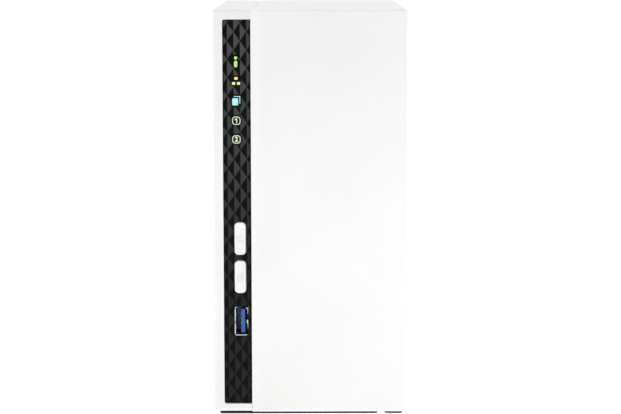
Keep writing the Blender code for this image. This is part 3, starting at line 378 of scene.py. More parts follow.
# the same black styrene painted paler for the facets that face right: painted light from the right, and
# painted lighter towards the top as light falls there from above
styrenePaintedLight = surface("styrenePaintedLight", {
    "colours": ("#202021", "#4c4c4d"),
    "fadeUp": (60, 160),
    "driftShare": 0.1,
    "driftMm": 14,
    "grainMm": 0.5,
    "rough": (0.42, 0.55),
    "relief": (0.04, 0.25),
    "shader": {"IOR": 1.5, "Specular IOR Level": 0.1},
})
# smoked polycarbonate window over a light: smooth black when seen from outside
polycarbonateSmoked = surface("polycarbonateSmoked", {
    "colours": ("#050506", "#080809"),
    "driftMm": 3,
    "grainMm": 0.5,
    "rough": (0.22, 0.3),
    "relief": (0.01, 0.08),
    "shader": {"IOR": 1.58, "Specular IOR Level": 0.1},
})
# thermoplastic rubber: dull black that takes dust
rubberMoulded = surface("rubberMoulded", {
    "colours": ("#1d1d1e", "#262627"),
    "driftMm": 5,
    "grainMm": 0.5,
    "rough": (0.72, 0.9),
    "relief": (0.06, 0.35),
    "shader": {"IOR": 1.5, "Specular IOR Level": 0.35},
})
# nickel over drawn steel: bright and neutral, with fine drawing lines along the depth
nickelPlatedSteel = surface("nickelPlatedSteel", {
    "colours": ("#dcdcdb", "#cfcfce"),
    "driftMm": 7,
    "grainMm": 0.35,
    "stretch": (1, 0.08, 1),
    "rough": (0.16, 0.30),
    "roughByGrain": True,
    "relief": (0.01, 0.25),
    "shader": {"Metallic": 1.0},
})
# blue PBT of a fast USB tongue: saturated, satin
pbtBlue = surface("pbtBlue", {
    "colours": ("#2560b4", "#1e55a4"),
    "driftMm": 4,
    "grainMm": 0.4,
    "rough": (0.35, 0.45),
    "relief": (0.02, 0.2),
    "shader": {"IOR": 1.57},
})
# gold flash on phosphor bronze: warm and bright
goldFlash = surface("goldFlash", {
    "colours": ("#e2bd6a", "#d3aa55"),
    "driftMm": 2,
    "grainMm": 0.25,
    "rough": (0.2, 0.32),
    "relief": (0.01, 0.2),
    "shader": {"Metallic": 1.0},
})
# glass-filled nylon of sockets and headers: dark, matte, slightly speckled
nylonBlack = surface("nylonBlack", {
    "colours": ("#18181a", "#202022"),
    "driftMm": 3,
    "grainMm": 0.3,
    "rough": (0.5, 0.64),
    "relief": (0.03, 0.3),
    "shader": {"IOR": 1.53},
})
# bright zinc on folded sheet: cool grey with soft crystalline clouds
zincPlatedSteel = surface("zincPlatedSteel", {
    "colours": ("#b4b7ba", "#c6c9cb"),
    "driftMm": 9,
    "grainMm": 0.9,
    "rough": (0.28, 0.42),
    "relief": (0.02, 0.25),
    "shader": {"Metallic": 1.0},
})
# powder coat on sheet steel: light grey with the fine orange peel of baked powder
powderCoatedSteel = surface("powderCoatedSteel", {
    "colours": ("#c9cacb", "#c4c5c6"),
    "driftMm": 30,
    "grainMm": 1.1,  # the real peel is near 0.6 mm, drawn coarser so that it shows
    "rough": (0.44, 0.54),
    "relief": (0.05, 0.35),
    "worn": ("#d8d9da", 0.6),
    "shader": {"IOR": 1.5},
})
# black PBT of the fan: satin, with faint flow from the gates
pbtBlack = surface("pbtBlack", {
    "colours": ("#1b1b1d", "#242426"),
    "driftMm": 12,
    "grainMm": 0.6,
    "rough": (0.42, 0.55),
    "relief": (0.03, 0.25),
    "shader": {"IOR": 1.55},
})
# die-cast aluminium: pale, slightly mottled, with the fine sparkle of a tumbled casting
castAluminium = surface("castAluminium", {
    "colours": ("#a9acaf", "#b9bcbe"),
    "driftMm": 11,
    "grainMm": 0.8,
    "rough": (0.40, 0.56),
    "relief": (0.05, 0.35),
    "shader": {"Metallic": 1.0},
})
# black-anodised extrusion of the heat sink: dark, with draw lines up its fins
anodisedAluminium = surface("anodisedAluminium", {
    "colours": ("#2c2d30", "#37383b"),
    "driftMm": 8,
    "grainMm": 0.5,
    "stretch": (1, 1, 0.05),
    "rough": (0.34, 0.48),
    "relief": (0.02, 0.3),
    "shader": {"Metallic": 0.7},
})
# brushed stainless sheet of a drive's lid: long fine lines up the lid
brushedStainless = surface("brushedStainless", {
    "colours": ("#c3c4c5", "#d0d1d2"),
    "driftMm": 20,
    "grainMm": 0.45,
    "stretch": (1, 1, 0.03),
    "rough": (0.24, 0.40),
    "roughByGrain": True,
    "relief": (0.01, 0.4),
    "shader": {"Metallic": 1.0},
})
# transfer-moulded epoxy of a chip: charcoal, dead matte
epoxyMoulded = surface("epoxyMoulded", {
    "colours": ("#1e1e20", "#262628"),
    "driftMm": 4,
    "grainMm": 0.25,
    "rough": (0.6, 0.75),
    "relief": (0.02, 0.3),
    "shader": {"IOR": 1.55},
})
# fired ceramic of a chip capacitor: warm tan
ceramicFired = surface("ceramicFired", {
    "colours": ("#a98c63", "#8d7350"),
    "driftMm": 1.5,
    "grainMm": 0.2,
    "rough": (0.45, 0.6),
    "relief": (0.01, 0.2),
    "shader": {"IOR": 1.6},
})
# coated paper of a blank label: clean white, soft sheen
paperCoated = surface("paperCoated", {
    "colours": ("#ebebe8", "#f2f2ef"),
    "driftMm": 15,
    "grainMm": 0.3,
    "rough": (0.5, 0.62),
    "relief": (0.01, 0.2),
    "shader": {"IOR": 1.45},
})
# clear acrylic, polished: bends what is behind it
acrylicPolished = surface("acrylicPolished", {
    "colours": ("#f2f6f7", "#e9eff1"),
    "driftMm": 12,
    "grainMm": 0.8,
    "rough": (0.05, 0.12),
    "relief": (0.005, 0.1),
    "shader": {"IOR": 1.49, "Transmission Weight": 0.85},
})
# milky epoxy of a small lamp
epoxyDiffused = surface("epoxyDiffused", {
    "colours": ("#e3efcf", "#d3e5b6"),
    "driftMm": 1.5,
    "grainMm": 0.3,
    "rough": (0.25, 0.35),
    "relief": (0.01, 0.1),
    "shader": {"IOR": 1.54},
})


def pvcSleeve(name, colour, shade):
    # extruded PVC round a wire: soft gloss in its own colour
    return surface(name, {
        "colours": (colour, shade),
        "driftMm": 5,
        "grainMm": 0.4,
        "rough": (0.32, 0.45),
        "relief": (0.01, 0.2),
        "shader": {"IOR": 1.53},
    })


mask = {
    "colours": ("#0f4a2c", "#1d6b41"),
    "trackMm": 3.2,
    "trackEdge": (0.03, 0.06),
    "pourMm": 14,
    "pourEdge": (0.49, 0.51),
    "pourShare": 0.6,
    "rough": (0.28, 0.4),
    "relief": (0.05, 0.5),
}


def solderMask(look):
    # green lacquer over copper: tracks and pours stand up a little and look paler through it
    material, tree, shader, place = newMaterial("solderMaskLacquer")
    cells = addNode(
        tree,
        "ShaderNodeTexVoronoi",
        {"Scale": 1 / (look["trackMm"] * mm), "Randomness": 1.0},
        {"Vector": place},
        feature="DISTANCE_TO_EDGE",
    ).outputs["Distance"]
    start, end = look["trackEdge"]
    edges = {"From Min": start, "From Max": end, "To Min": 1.0, "To Max": 0.0}
    tracks = addNode(tree, "ShaderNodeMapRange", edges, {"Value": cells}).outputs[0]
    clouds = {"Scale": 1 / (look["pourMm"] * mm), "Detail": 2.0}
    cloud = addNode(tree, "ShaderNodeTexNoise", clouds, {"Vector": place}).outputs[0]
    start, end = look["pourEdge"]
    edges = {"From Min": start, "From Max": end, "To Max": look["pourShare"]}
    pour = addNode(tree, "ShaderNodeMapRange", edges, {"Value": cloud}).outputs[0]
    copper = addNode(tree, "ShaderNodeMath", {}, {0: tracks, 1: pour}, operation="MAXIMUM").outputs[0]
    first, second = [hexColour(code) for code in look["colours"]]
    colour = addNode(
        tree, "ShaderNodeMix", {mixFirst: first, mixSecond: second}, {"Factor": copper}, data_type="RGBA"
    ).outputs[mixResult]
    height, strength = look["relief"]
    bumps = {"Strength": strength, "Distance": height * mm}
    rise = addNode(tree, "ShaderNodeBump", bumps, {"Height": copper}).outputs[0]
    smoothest, roughest = look["rough"]
    span = {"To Min": smoothest, "To Max": roughest}
    rough = addNode(tree, "ShaderNodeMapRange", span, {"Value": cloud}).outputs[0]
    for socket, source in (("Base Color", colour), ("Roughness", rough), ("Normal", rise)):
        tree.links.new(source, shader.inputs[socket])
    return material


solderMaskLacquer = solderMask(mask)
inlay = {"body": "#2a2d26", "glow": 0.95, "cloudMm": 1.5, "rough": 0.35}


def lightInlay(name, deep, bright):
    # diffusing polycarbonate lit from behind: an even glow with a slight cloud in it
    material, tree, shader, place = newMaterial(name)
    clouds = {"Scale": 1 / (inlay["cloudMm"] * mm), "Detail": 1.0}
    cloud = addNode(tree, "ShaderNodeTexNoise", clouds, {"Vector": place}).outputs[0]
    spread = addNode(tree, "ShaderNodeMapRange", noiseSpan, {"Value": cloud}).outputs[0]
    ends = {mixFirst: hexColour(deep), mixSecond: hexColour(bright)}
    glow = addNode(tree, "ShaderNodeMix", ends, {"Factor": spread}, data_type="RGBA").outputs[mixResult]
    tree.links.new(glow, shader.inputs["Emission Color"])
    shader.inputs["Base Color"].default_value = hexColour(inlay["body"])
    shader.inputs["Emission Strength"].default_value = inlay["glow"]
    shader.inputs["Roughness"].default_value = inlay["rough"]
    return material


lightGreen = lightInlay("polycarbonateLitGreen", "#b4ea82", "#ccf598")
lightPale = lightInlay("polycarbonateLitPaleGreen", "#d6f0c0", "#ecfbdc")
lightAmber = lightInlay("polycarbonateLitAmber", "#fff088", "#fffab8")
lightCyan = lightInlay("polycarbonateLitCyan", "#9ceef2", "#c4fafc")
print("materials made")

# casing
casing = {
    "wall": 2.4,
    "gap": 0.3,
    "reach": 10.0,  # how far a cutter stands out of what it cuts
    "underside": 1.6,
    "sideRound": 2.2,
    "edgeRound": 1.4,
    "roundSteps": 8,
    "topSeam": -25.6,
    "seamGap": 0.1,
    "seamChamfer": (1.2, 1.5),
    "coverEdgeIn": 0.25,
    "rimWidth": 4.7,
    "rimDepth": 1.35,
    "rimCorner": 1.2,
    "windowLow": (-40.1, 5.1),
    "windowTop": 183.8,
    "windowRound": 1.0,
    "lip": {"across": (-32.0, -21.5), "back": (8.0, 149.0), "thick": 1.8, "root": 1.2},
    "soft": 0.22,
    "overlap": 0.6,  # how far a joined piece runs into its wall
}
vents = {
    "width": 2.6,
    "step": 6.4,
    "round": 1.29,
    "floor": {"count": 9, "first": -26.0, "rows": ((24.0, 58.0), (98.0, 132.0))},
    "side": {"count": 17, "first": 24.0, "up": (24.0, 40.0)},
}
posts = {
    "radius": 3.0,
    "pin": (1.3, 2.2),
    "boardFace": -37.3,
    "boardPlaces": ((16.0, 14.5), (141.0, 14.5), (16.0, 175.5), (141.0, 175.5)),
    "backplaneFace": 13.7,
    "backplanePlaces": ((-27.0, 33.5), (-27.0, 88.5), (27.0, 33.5), (27.0, 88.5)),
}
bosses = {"half": 4.2, "back": (144.5, 150.4), "boreStart": 145.8, "bore": 1.8, "extra": 0.2, "inset": 1.0}
ribs = {"count": 4, "first": 26.0, "step": 34.0, "thick": 1.4, "rise": 1.2, "root": 0.5, "up": (20.0, 172.0)}
shellLow, shellHigh = spanOf("main_shell")
coverLow, coverHigh = spanOf("side_cover")
ceiling = shellHigh.z - casing["wall"]
floorTop = shellLow.z + casing["wall"]
shellLow.z = coverLow.z = casing["underside"]
coverEdge = coverLow.x + casing["coverEdgeIn"]


def makeShell():
    wall, gap, far = casing["wall"], casing["gap"], casing["reach"]
    shell = block("shellBody", shellLow, shellHigh)
    smallShare = casing["edgeRound"] / casing["sideRound"]

    def outerEdge(across, back, up):
        left, front = across < shellLow.x + gap, back < shellLow.y + gap
        level = not shellLow.z + gap < up < shellHigh.z - gap
        if left and up > shellHigh.z - gap:
            return 1.0
        return smallShare if (left and (front or level)) or (front and level) else 0.0

    roundEdges(shell, casing["sideRound"], outerEdge, casing["roundSteps"])
    beyond, rear, top = shellHigh.x + far, shellHigh.y + far, shellHigh.z + far
    seam, wide, deep = casing["topSeam"], *casing["seamChamfer"]
    above = shellHigh.z + 1
    chamfer = [(seam - wide, shellHigh.z), (seam + wide, shellHigh.z - 2 * deep), (seam + wide, above)]
    window = rectangle(casing["windowLow"], (coverLow.x + far, casing["windowTop"]), casing["windowRound"])
    seamStart, coverStart = seam - casing["seamGap"] / 2, coverEdge - casing["seamGap"]
    inner = (shellLow.x + wall, shellLow.y + wall, floorTop)
    carve(
        shell,
        block("inside", inner, (beyond, rear, ceiling)),
        block("topCut", (seamStart, -far, ceiling - far), (beyond, rear, top)),
        block("frontCut", (coverStart, -far, floorTop), (beyond, shellLow.y + wall + gap, ceiling)),
        block("frontTopCut", (coverStart, -far, ceiling - gap), (beyond, wall + gap / 2, top)),
        block("floorCut", (coverStart, -far, -far), (beyond, wall + gap, floorTop + gap)),
        flat("window", [window], "XZ", -far, shellLow.y + wall + far + gap),
        flat("seamCut", [chamfer], "XZ", -far, shellHigh.y + 2 * far),
        ventSlots(),
    )
    # a lip under the top's edge, which the cover's top slides over
    lip, lipTop = casing["lip"], ceiling - gap
    (left, right), (front, back) = lip["across"], lip["back"]
    rootEnds = (ceiling - lip["root"], ceiling + casing["overlap"])
    addOn(
        shell,
        block("lip", (left, front, lipTop - lip["thick"]), (right, back, lipTop)),
        block("lipRoot", (left, front, rootEnds[0]), (seam - gap, back, rootEnds[1])),
        boardPosts(),
    )
    finishPiece(shell, "chassis", absMoulded, ["main_shell"], soft=casing["soft"])


def ventSlots():
    wide, far, gap, corner = vents["width"], casing["reach"], casing["gap"], vents["round"]
    slots = []
    floor, side = vents["floor"], vents["side"]
    for front, back in floor["rows"]:
        for index in range(floor["count"]):
            left = floor["first"] + index * vents["step"]
            outline = rectangle((left, front), (left + wide, back), corner)
            slots.append(flat("slot", [outline], "XY", -far, far + floorTop + gap))
    wallFace = shellLow.x + casing["wall"] + gap
    for index in range(side["count"]):
        front = side["first"] + index * vents["step"]
        outline = rectangle((front, side["up"][0]), (front + wide, side["up"][1]), corner)
        slots.append(flat("slot", [outline], "YZ", wallFace - far, far))
    return gather("ventSlots", slots)


def boardPost(start, axis, length):
    # a round post with a pin on its end, which the board's hole goes over
    radius, (pin, pinLength) = posts["radius"], posts["pin"]
    end = length + pinLength
    profile = [(0, 0), (radius, 0), (radius, length), (pin, length), (pin, end), (0, end)]
    return turned("post", start, axis, profile, 24)


def boardPosts():
    wall, floor = shellLow.x + casing["wall"] - casing["overlap"], floorTop - casing["overlap"]
    made = []
    for back, up in posts["boardPlaces"]:
        made.append(boardPost((wall, back, up), "X", posts["boardFace"] - wall))
    for across, back in posts["backplanePlaces"]:
        made.append(boardPost((across, back, floor), "Z", posts["backplaneFace"] - floor))
    return gather("boardPosts", made)


def makeCover():
    wall, gap, far = casing["wall"], casing["gap"], casing["reach"]
    left = coverEdge
    cover = block("coverBody", (left, coverLow.y, coverLow.z), coverHigh)
    smallShare = casing["edgeRound"] / casing["sideRound"]

    def outerEdge(across, back, up):
        right, front = across > coverHigh.x - gap, back < gap
        level = not coverLow.z + gap < up < coverHigh.z - gap
        if right and (front or up > coverHigh.z - gap):
            return 1.0
        return smallShare if level and (right or front) else 0.0

    roundEdges(cover, casing["sideRound"], outerEdge, casing["roundSteps"])
    # the front slopes back towards the strip
    slope, rimEnd = casing["rimDepth"] / casing["rimWidth"], left + casing["rimWidth"] + far
    rim = [(left - far, casing["rimDepth"] + far * slope), (left - far, -far)]
    rim += [(rimEnd, -far), (rimEnd, -far * slope)]
    seamEdge = casing["topSeam"] + casing["seamGap"] / 2
    corner, rear, top = casing["rimCorner"], coverHigh.y + far, coverHigh.z + far
    arc = ring((left + corner, coverHigh.z - corner), corner, 48)[12:25]
    start = -far * 5
    carve(
        cover,
        block("inside", (start, wall, floorTop), (coverHigh.x - wall, rear, ceiling)),
        block("topCut", (start, wall, ceiling - far), (seamEdge, rear, top)),
        block("floorCut", (start, wall, -far), (shellHigh.x + gap, rear, floorTop + gap)),
        flat("rimCut", [rim], "XY", -far, coverHigh.z + 2 * far),
        flat("cornerCut", [[(left - 1, coverHigh.z + 1)] + arc[::-1]], "XZ", -far, far + wall + 1),
    )
    addBosses(cover)
    inner, (ribLow, ribHigh) = coverHigh.x - wall, ribs["up"]
    for index in range(ribs["count"]):
        front = ribs["first"] + index * ribs["step"]
        end = (inner + ribs["root"], front + ribs["thick"], ribHigh)
        addOn(cover, block("rib", (inner - ribs["rise"], front, ribLow), end))
    finishPiece(cover, "cover", absMoulded, ["side_cover"], soft=casing["soft"])


def addBosses(cover):
    # the blocks that the two cover screws go into, at the top and the bottom of the wide wall
    (front, back), inset = bosses["back"], bosses["inset"]
    for level in ("upper", "lower"):
        low, high = spanOf("cover_screw_" + level)
        across, up = middleOf(low, high)
        around = bosses["half"] + bosses["extra"]
        ends = (up - around, coverHigh.z - inset) if level == "upper" else (coverLow.z + inset, up + around)
        left = across - bosses["half"]
        addOn(cover, block("boss", (left, front, ends[0]), (coverHigh.x - inset, back, ends[1])))
        bore = rod("bore", (across, bosses["boreStart"], up), "Y", bosses["bore"], casing["reach"], 24)
        carve(cover, bore)


makeShell()
makeCover()
print("casing made")

# front strip, its lights and buttons
relief = {
    "column": 2.973,  # half a diamond's width
    "height": 8.38,
    "first": (-40.973, 186.53),
    "columns": 7,
    "rows": 24,
    "depth": 0.62,
    "faceBack": 3.4,
    "floorBack": 5.0,
    "low": (-39.7, 5.55),
    "top": 183.5,
    "coverGap": 0.4,
    "corner": 0.9,
    "flangeCorner": 1.0,
}


def makeStrip():
    half, tall, depth = relief["column"], relief["height"] / 2, relief["depth"]
    faceBack, floorBack = relief["faceBack"], relief["floorBack"]
    work = bmesh.new()
    for column in range(-1, relief["columns"]):
        for row in range(-1, relief["rows"]):
            x = relief["first"][0] + column * half
            z = relief["first"][1] - row * relief["height"] - (0 if column % 2 else tall)
            apex = work.verts.new(at(x, faceBack, z))
            rim = [(x, z + tall), (x - half, z), (x, z - tall), (x + half, z)]
            corners = [work.verts.new(at(px, faceBack + depth, pz)) for px, pz in rim]
            for index in range(4):
                work.faces.new((apex, corners[index], corners[(index + 1) % 4]))
    bmesh.ops.remove_doubles(work, verts=work.verts, dist=0.00001)
    back = bmesh.ops.extrude_face_region(work, geom=work.faces[:])
    for vertex in (v for v in back["geom"] if isinstance(v, bmesh.types.BMVert)):
        vertex.co.y = at(0, floorBack, 0).y
    bmesh.ops.recalc_face_normals(work, faces=work.faces)
    diamonds = fromBmesh("stripDiamonds", work, Matrix.Identity(4))
    window = rectangle(relief["low"], (coverEdge - relief["coverGap"], relief["top"]), relief["corner"])
    combine(diamonds, "INTERSECT", [flat("stripEdge", [window], "XZ", 0, 20)])
    carve(diamonds, flat("stripHoles", stripHoles(), "XZ", -5, 30))
    finishPiece(diamonds, "chassis", styreneFaceted, ["front_strip"], soft=0.0)
    # facets that face right get the paler material, a painted light from the right; the left-hand facets keep
    # the black
    diamonds.data.materials.append(styrenePaintedLight)
    for face in diamonds.data.polygons:
        if face.normal.y < -0.9 and face.normal.x > 0.1:
            face.material_index = 1
    low, high = spanOf("front_strip")
    outer = rectangle((low.x, low.z), (high.x, high.z), relief["flangeCorner"])
    flange = flat("stripFlange", [outer] + stripHoles(), "XZ", floorBack, high.y - floorBack)
    finishPiece(flange, "chassis", polycarbonateSmoked, soft=0.15)


def stripHoles():
    gap = casing["gap"]
    edge = buttons["flange"] - gap
    holes = []
    for key in ("power_button", "copy_button"):
        low, high = spanOf(key)
        low, high = (low.x + edge, low.z + edge), (high.x - edge, high.z - edge)
        holes.append(rectangle(low, high, buttons["corner"] + gap, buttons["steps"]))
    low, high = spanOf("front_usb_shell")
    holes.append(rectangle((low.x - gap, low.z - gap), (high.x + gap, high.z + gap), 0.6))
    return holes


# places are (across, up) on the strip's face
lights = {
    "face": 3.34,
    "rise": 0.12,
    "thick": 0.25,
    "windowThick": 1.2,
    "windowRound": 0.9,
}
statusLight = {
    "window": ((-35.2, 161.3), (-32.8, 167.6)),
    "dot": ((-34.0, 166.2), 0.75, 20),
    "body": ((-34.75, 161.9), (-33.25, 164.9), 0.72),
}
networkLight = {
    "window": ((-36.2, 153.2), (-31.5, 158.0)),
    "centres": ((-33.9, 156.8), (-35.0, 154.5), (-32.7, 154.5)),
    "half": (0.72, 0.6),
    "round": 0.15,
}
copyLight = {
    "window": ((-36.3, 143.4), (-31.4, 149.3)),
    "sheet": ((-35.7, 144.4), (-32.95, 147.7), 0.5),
    "behind": (-34.9, 148.65, -32.0, 145.3, 0.35),
}
driveLight = {
    "across": -33.85,
    "ups": (137.35, 128.7),
    "half": 1.9,
    "line": 0.37,
    "rounds": (1.35, 1.0),
    "margin": 0.5,
    "numeral": 3.1,
    "bold": 0.1,
    "one": ((0.4, -1.1), (0.4, 1.1), (0.0, 1.1), (-0.75, 0.6), (-0.75, 0.15), (-0.05, 0.5), (-0.05, -1.1)),
}
buttons = {
    "flange": 1.08,
    "corner": 1.75,
    "steps": 10,
    "thick": 3.6,
    "edge": 0.55,
    "skirt": (6.1, 1.0, 3.0),
    "stem": (-32.1, 6.8, 1.6),
    "markDepth": 0.4,
    "line": 0.45,
}
# places are (across, up) from the mark's middle
powerMark = {"middle": (-32.4, 82.6), "radius": 1.6, "halfGap": 42, "bar": (0.2, 2.0)}
copyMark = {
    "middle": (-32.4, 64.7),
    "low": (-1.5, -1.9),
    "high": (0.6, 0.7),
    "rounds": (0.2, 0.1),
    "behind": (-0.7, 1.75, 1.5, -1.0),
}


def glyph(name, outlines, material):
    for index, outline in enumerate(outlines):
        part = flat("%s%d" % (name, index), outline, "XZ", lights["face"] - lights["rise"], lights["thick"])
        finishPiece(part, "chassis", material, soft=0.04)


def window(name, low, high, radius):
    part = flat(name, [rectangle(low, high, radius)], "XZ", lights["face"], lights["windowThick"])
    finishPiece(part, "chassis", polycarbonateSmoked, soft=0.1)


def numeral(name, text, centre, material):
    curve = bpy.data.curves.new(name, "FONT")
    curve.body = text
    curve.size = driveLight["numeral"] * mm
    curve.align_x, curve.align_y = "CENTER", "CENTER"
    curve.extrude = lights["thick"] / 2 * mm
    curve.offset = driveLight["bold"] * mm
    middle = lights["face"] - lights["rise"] + lights["thick"] / 2
    place = Matrix.Translation(at(centre[0], middle, centre[1]))
    part = meshFromCurve(name, curve, place @ planes["XZ"])
    finishPiece(part, "chassis", material, soft=0.0)


def cornerStroke(left, top, right, low, line):
    # the edge of a sheet that shows from behind another: a line along its top and right side
    return [
        (left, top - line), (left, top), (right, top),
        (right, low), (right - line, low), (right - line, top - line),
    ]


def arcBand(centre, radius, line, start, end, steps=20):
    angles = [start + (end - start) * step / steps for step in range(steps + 1)]
    sides = [
        [(centre[0] + reach * math.cos(a), centre[1] + reach * math.sin(a)) for a in angles]
        for reach in (radius, radius - line)
    ]
    return sides[0] + sides[1][::-1]


def makeLights():
    corner = lights["windowRound"]
    window("statusWindow", *statusLight["window"], corner)
    shapes = [ring(*statusLight["dot"]), rectangle(*statusLight["body"])]
    glyph("statusGlyph", [[shape] for shape in shapes], lightGreen)
    window("networkWindow", *networkLight["window"], corner)
    wide, tall = networkLight["half"]
    shapes = [
        rectangle((x - wide, z - tall), (x + wide, z + tall), networkLight["round"])
        for x, z in networkLight["centres"]
    ]
    glyph("networkGlyph", [[shape] for shape in shapes], lightAmber)
    window("copyWindow", *copyLight["window"], corner)
    shapes = [rectangle(*copyLight["sheet"]), cornerStroke(*copyLight["behind"])]
    glyph("copyGlyph", [[shape] for shape in shapes], lightCyan)
    across, half, line, margin = [driveLight[key] for key in ("across", "half", "line", "margin")]
    for number, up in enumerate(driveLight["ups"], start=1):
        low, high = (across - half, up - half), (across + half, up + half)
        room = ((low[0] - margin, low[1] - margin), (high[0] + margin, high[1] + margin))
        window("driveWindow%d" % number, *room, half)
        outer, inner = driveLight["rounds"]
        hollow = rectangle((low[0] + line, low[1] + line), (high[0] - line, high[1] - line), inner)
        glyph("driveRing%d" % number, [[rectangle(low, high, outer), hollow]], lightPale)
        if number == 1:
            one = [(across + x, up + z) for x, z in driveLight["one"]]
            glyph("driveNumeral1", [[one]], lightPale)
        else:
            numeral("driveNumeral%d" % number, str(number), (across, up), lightPale)


def makeButton(node, body, marks):
    low, high = spanOf(node)
    flange, steps = buttons["flange"], buttons["steps"]
    corners = ((low.x + flange, low.z + flange), (high.x - flange, high.z - flange))
    cap = flat(node + "Cap", [rectangle(*corners, buttons["corner"], steps)], "XZ", low.y, buttons["thick"])
    cap.modifiers.new("one front face", "DECIMATE").decimate_type = "DISSOLVE"
    applyShape(cap)
    roundEdges(cap, buttons["edge"], lambda across, back, up: back < low.y + 0.1, 5)
    back, thick, corner = buttons["skirt"]
    skirt = flat("skirt", [rectangle((low.x, low.z), (high.x, high.z), corner, steps)], "XZ", back, thick)
    across, back, radius = buttons["stem"]
    stem = rod("stem", (across, back, (low.z + high.z) / 2), "Y", radius, high.y - back, 24)
    addOn(cap, skirt, stem)
    depth = buttons["markDepth"]
    carve(cap, gather("marks", [flat("mark", mark, "XZ", low.y - 1, 1 + depth) for mark in marks]))
    finishPiece(cap, body, absPolished, [node], soft=0.05)


def makeButtons():
    line = buttons["line"]
    across, up = powerMark["middle"]
    halfGap = math.radians(powerMark["halfGap"])
    ends = (math.pi / 2 + halfGap, math.pi * 5 / 2 - halfGap)
    powerRing = arcBand((across, up), powerMark["radius"], line, *ends)
    low, high = powerMark["bar"]
    bar = rectangle((across - line / 2, up + low), (across + line / 2, up + high))
    makeButton("power_button", "power_key", [[powerRing], [bar]])
    across, up = copyMark["middle"]
    low = (across + copyMark["low"][0], up + copyMark["low"][1])
    high = (across + copyMark["high"][0], up + copyMark["high"][1])
    outer, inner = copyMark["rounds"]
    hollow = rectangle((low[0] + line, low[1] + line), (high[0] - line, high[1] - line), inner)
    left, top, right, bottom = copyMark["behind"]
    behind = cornerStroke(across + left, up + top, across + right, up + bottom, line)
    makeButton("copy_button", "copy_key", [[rectangle(low, high, outer), hollow], [behind]])


makeStrip()
makeLights()
makeButtons()
print("front strip made")

# USB sockets: lips are shares of the height, and a spring's bend is (across, inwards) from its root
usb = {
    "sheet": 0.34,
    "corner": 0.7,
    "flare": 0.55,
    "nearDepth": 1.2,
    "nearLips": ((0.09, 0.43), (0.58, 0.92)),
    "farDepth": 11.0,
    "farLips": ((0.44, 0.58), (0.94, 0.99)),
    "topFrom": 1.0,
    "springs": (0.27, 0.73),
    "springSlot": (1.9, 4.2, 1.6),
    "bend": ((0.05, 4.6), (0.35, 4.6), (1.15, 1.3), (0.6, -0.1), (0.35, 0.1), (0.8, 1.35)),
    "plate": (0.45, 1.75, 5.6),
    "root": 3.3,
    "contacts": {
        "count": 4, "pitch": 2.35, "wide": 1.0, "long": 7.0, "start": 2.2, "rise": 0.12, "root": 0.05,
    },
}


def makeUsbShell(node, mouthBack, inward):
    low, high = spanOf(node)
    sheet, corner, tall = usb["sheet"], usb["corner"], high.z - low.z
    outer = rectangle((low.x, low.z), (high.x, high.z), corner)
    hollow = ((low.x + sheet, low.z + sheet), (high.x - sheet, high.z - sheet))
    shell = flat(node + "Can", [outer, rectangle(*hollow, corner - sheet / 2)], "XZ", low.y, high.y - low.y)
    wide, length, start = usb["springSlot"]
    start = mouthBack + inward * start
    front, back = sorted((start, start + inward * length))
    ups = [low.z + tall * share for share in usb["springs"]]
    left, right = low.x - 1, low.x + 1.2
    slots = [block("slot", (left, front, up - wide / 2), (right, back, up + wide / 2)) for up in ups]
    # the near side and the bottom of the mouth are flared, so a plug finds its way in
    outside, flared = mouthBack - inward, mouthBack + inward * (1 + sheet) * usb["flare"]
    near, under = low.x + sheet, low.z + sheet
    nearFlare = [(low.x - 1, flared), (near, mouthBack), (near, outside), (low.x - 1, outside)]
    lowFlare = [(flared, low.z - 1), (mouthBack, under), (outside, under), (outside, low.z - 1)]

    # a side ends deeper in than its lips
    def setBack(name, left, right, depth, lips):
        front, back = sorted((outside, mouthBack + inward * depth))
        heights = [low.z + tall * share for lip in lips for share in lip]
        edges = [low.z + sheet] + heights + [high.z + 1]
        pairs = zip(edges[::2], edges[1::2])
        return gather(name, [block(name, (left, front, start), (right, back, end)) for start, end in pairs])

    front, back = sorted((outside, mouthBack + inward * usb["farDepth"]))
    topLow = (low.x + usb["topFrom"], front, high.z - 2 * sheet)
    carve(
        shell,
        gather("slots", slots),
        flat("nearFlare", [nearFlare], "XY", low.z - 1, tall + 2),
        flat("lowFlare", [lowFlare], "YZ", low.x - 1, high.x - low.x + 2),
        setBack("nearSide", low.x - 1, low.x + 2 * sheet, usb["nearDepth"], usb["nearLips"]),
        setBack("farSide", high.x - 2 * sheet, high.x + 1, usb["farDepth"], usb["farLips"]),
        block("topSide", topLow, (high.x - 2 * sheet, back, high.z + 1)),
    )
    finishPiece(shell, "chassis", nickelPlatedSteel, [node], soft=0.08)
    bend = [(low.x + across, start + inward * back) for across, back in usb["bend"]]
    for index, up in enumerate(ups):
        spring = flat("%sSpring%d" % (node, index), [bend], "XY", up - wide / 2 + 0.2, wide - 0.4)
        finishPiece(spring, "chassis", nickelPlatedSteel, soft=0.05)


def makeUsbTongue(node, mouthBack, inward, material):
    low, high = spanOf(node)
    middle = (low.z + high.z) / 2
    edge, thick, half = usb["plate"]
    face = high.x - edge - thick
    tongue = block(node + "Plate", (face, low.y, middle - half), (high.x - edge, high.y, middle + half))
    front, back = (high.y - usb["root"], high.y) if inward > 0 else (low.y, low.y + usb["root"])
    addOn(tongue, block("tongueRoot", (low.x, front, low.z), (high.x, back, high.z)))
    finishPiece(tongue, "chassis", material, [node], soft=0.18)
    contacts = usb["contacts"]
    tip = mouthBack + inward * contacts["start"]
    front, back = sorted((tip, tip + inward * contacts["long"]))
    for index in range(contacts["count"]):
        low = middle + (index - (contacts["count"] - 1) / 2) * contacts["pitch"] - contacts["wide"] / 2
        end = (face + contacts["root"], back, low + contacts["wide"])
        contact = block("%sContact%d" % (node, index), (face - contacts["rise"], front, low), end)
        finishPiece(contact, "chassis", goldFlash, soft=0.04)


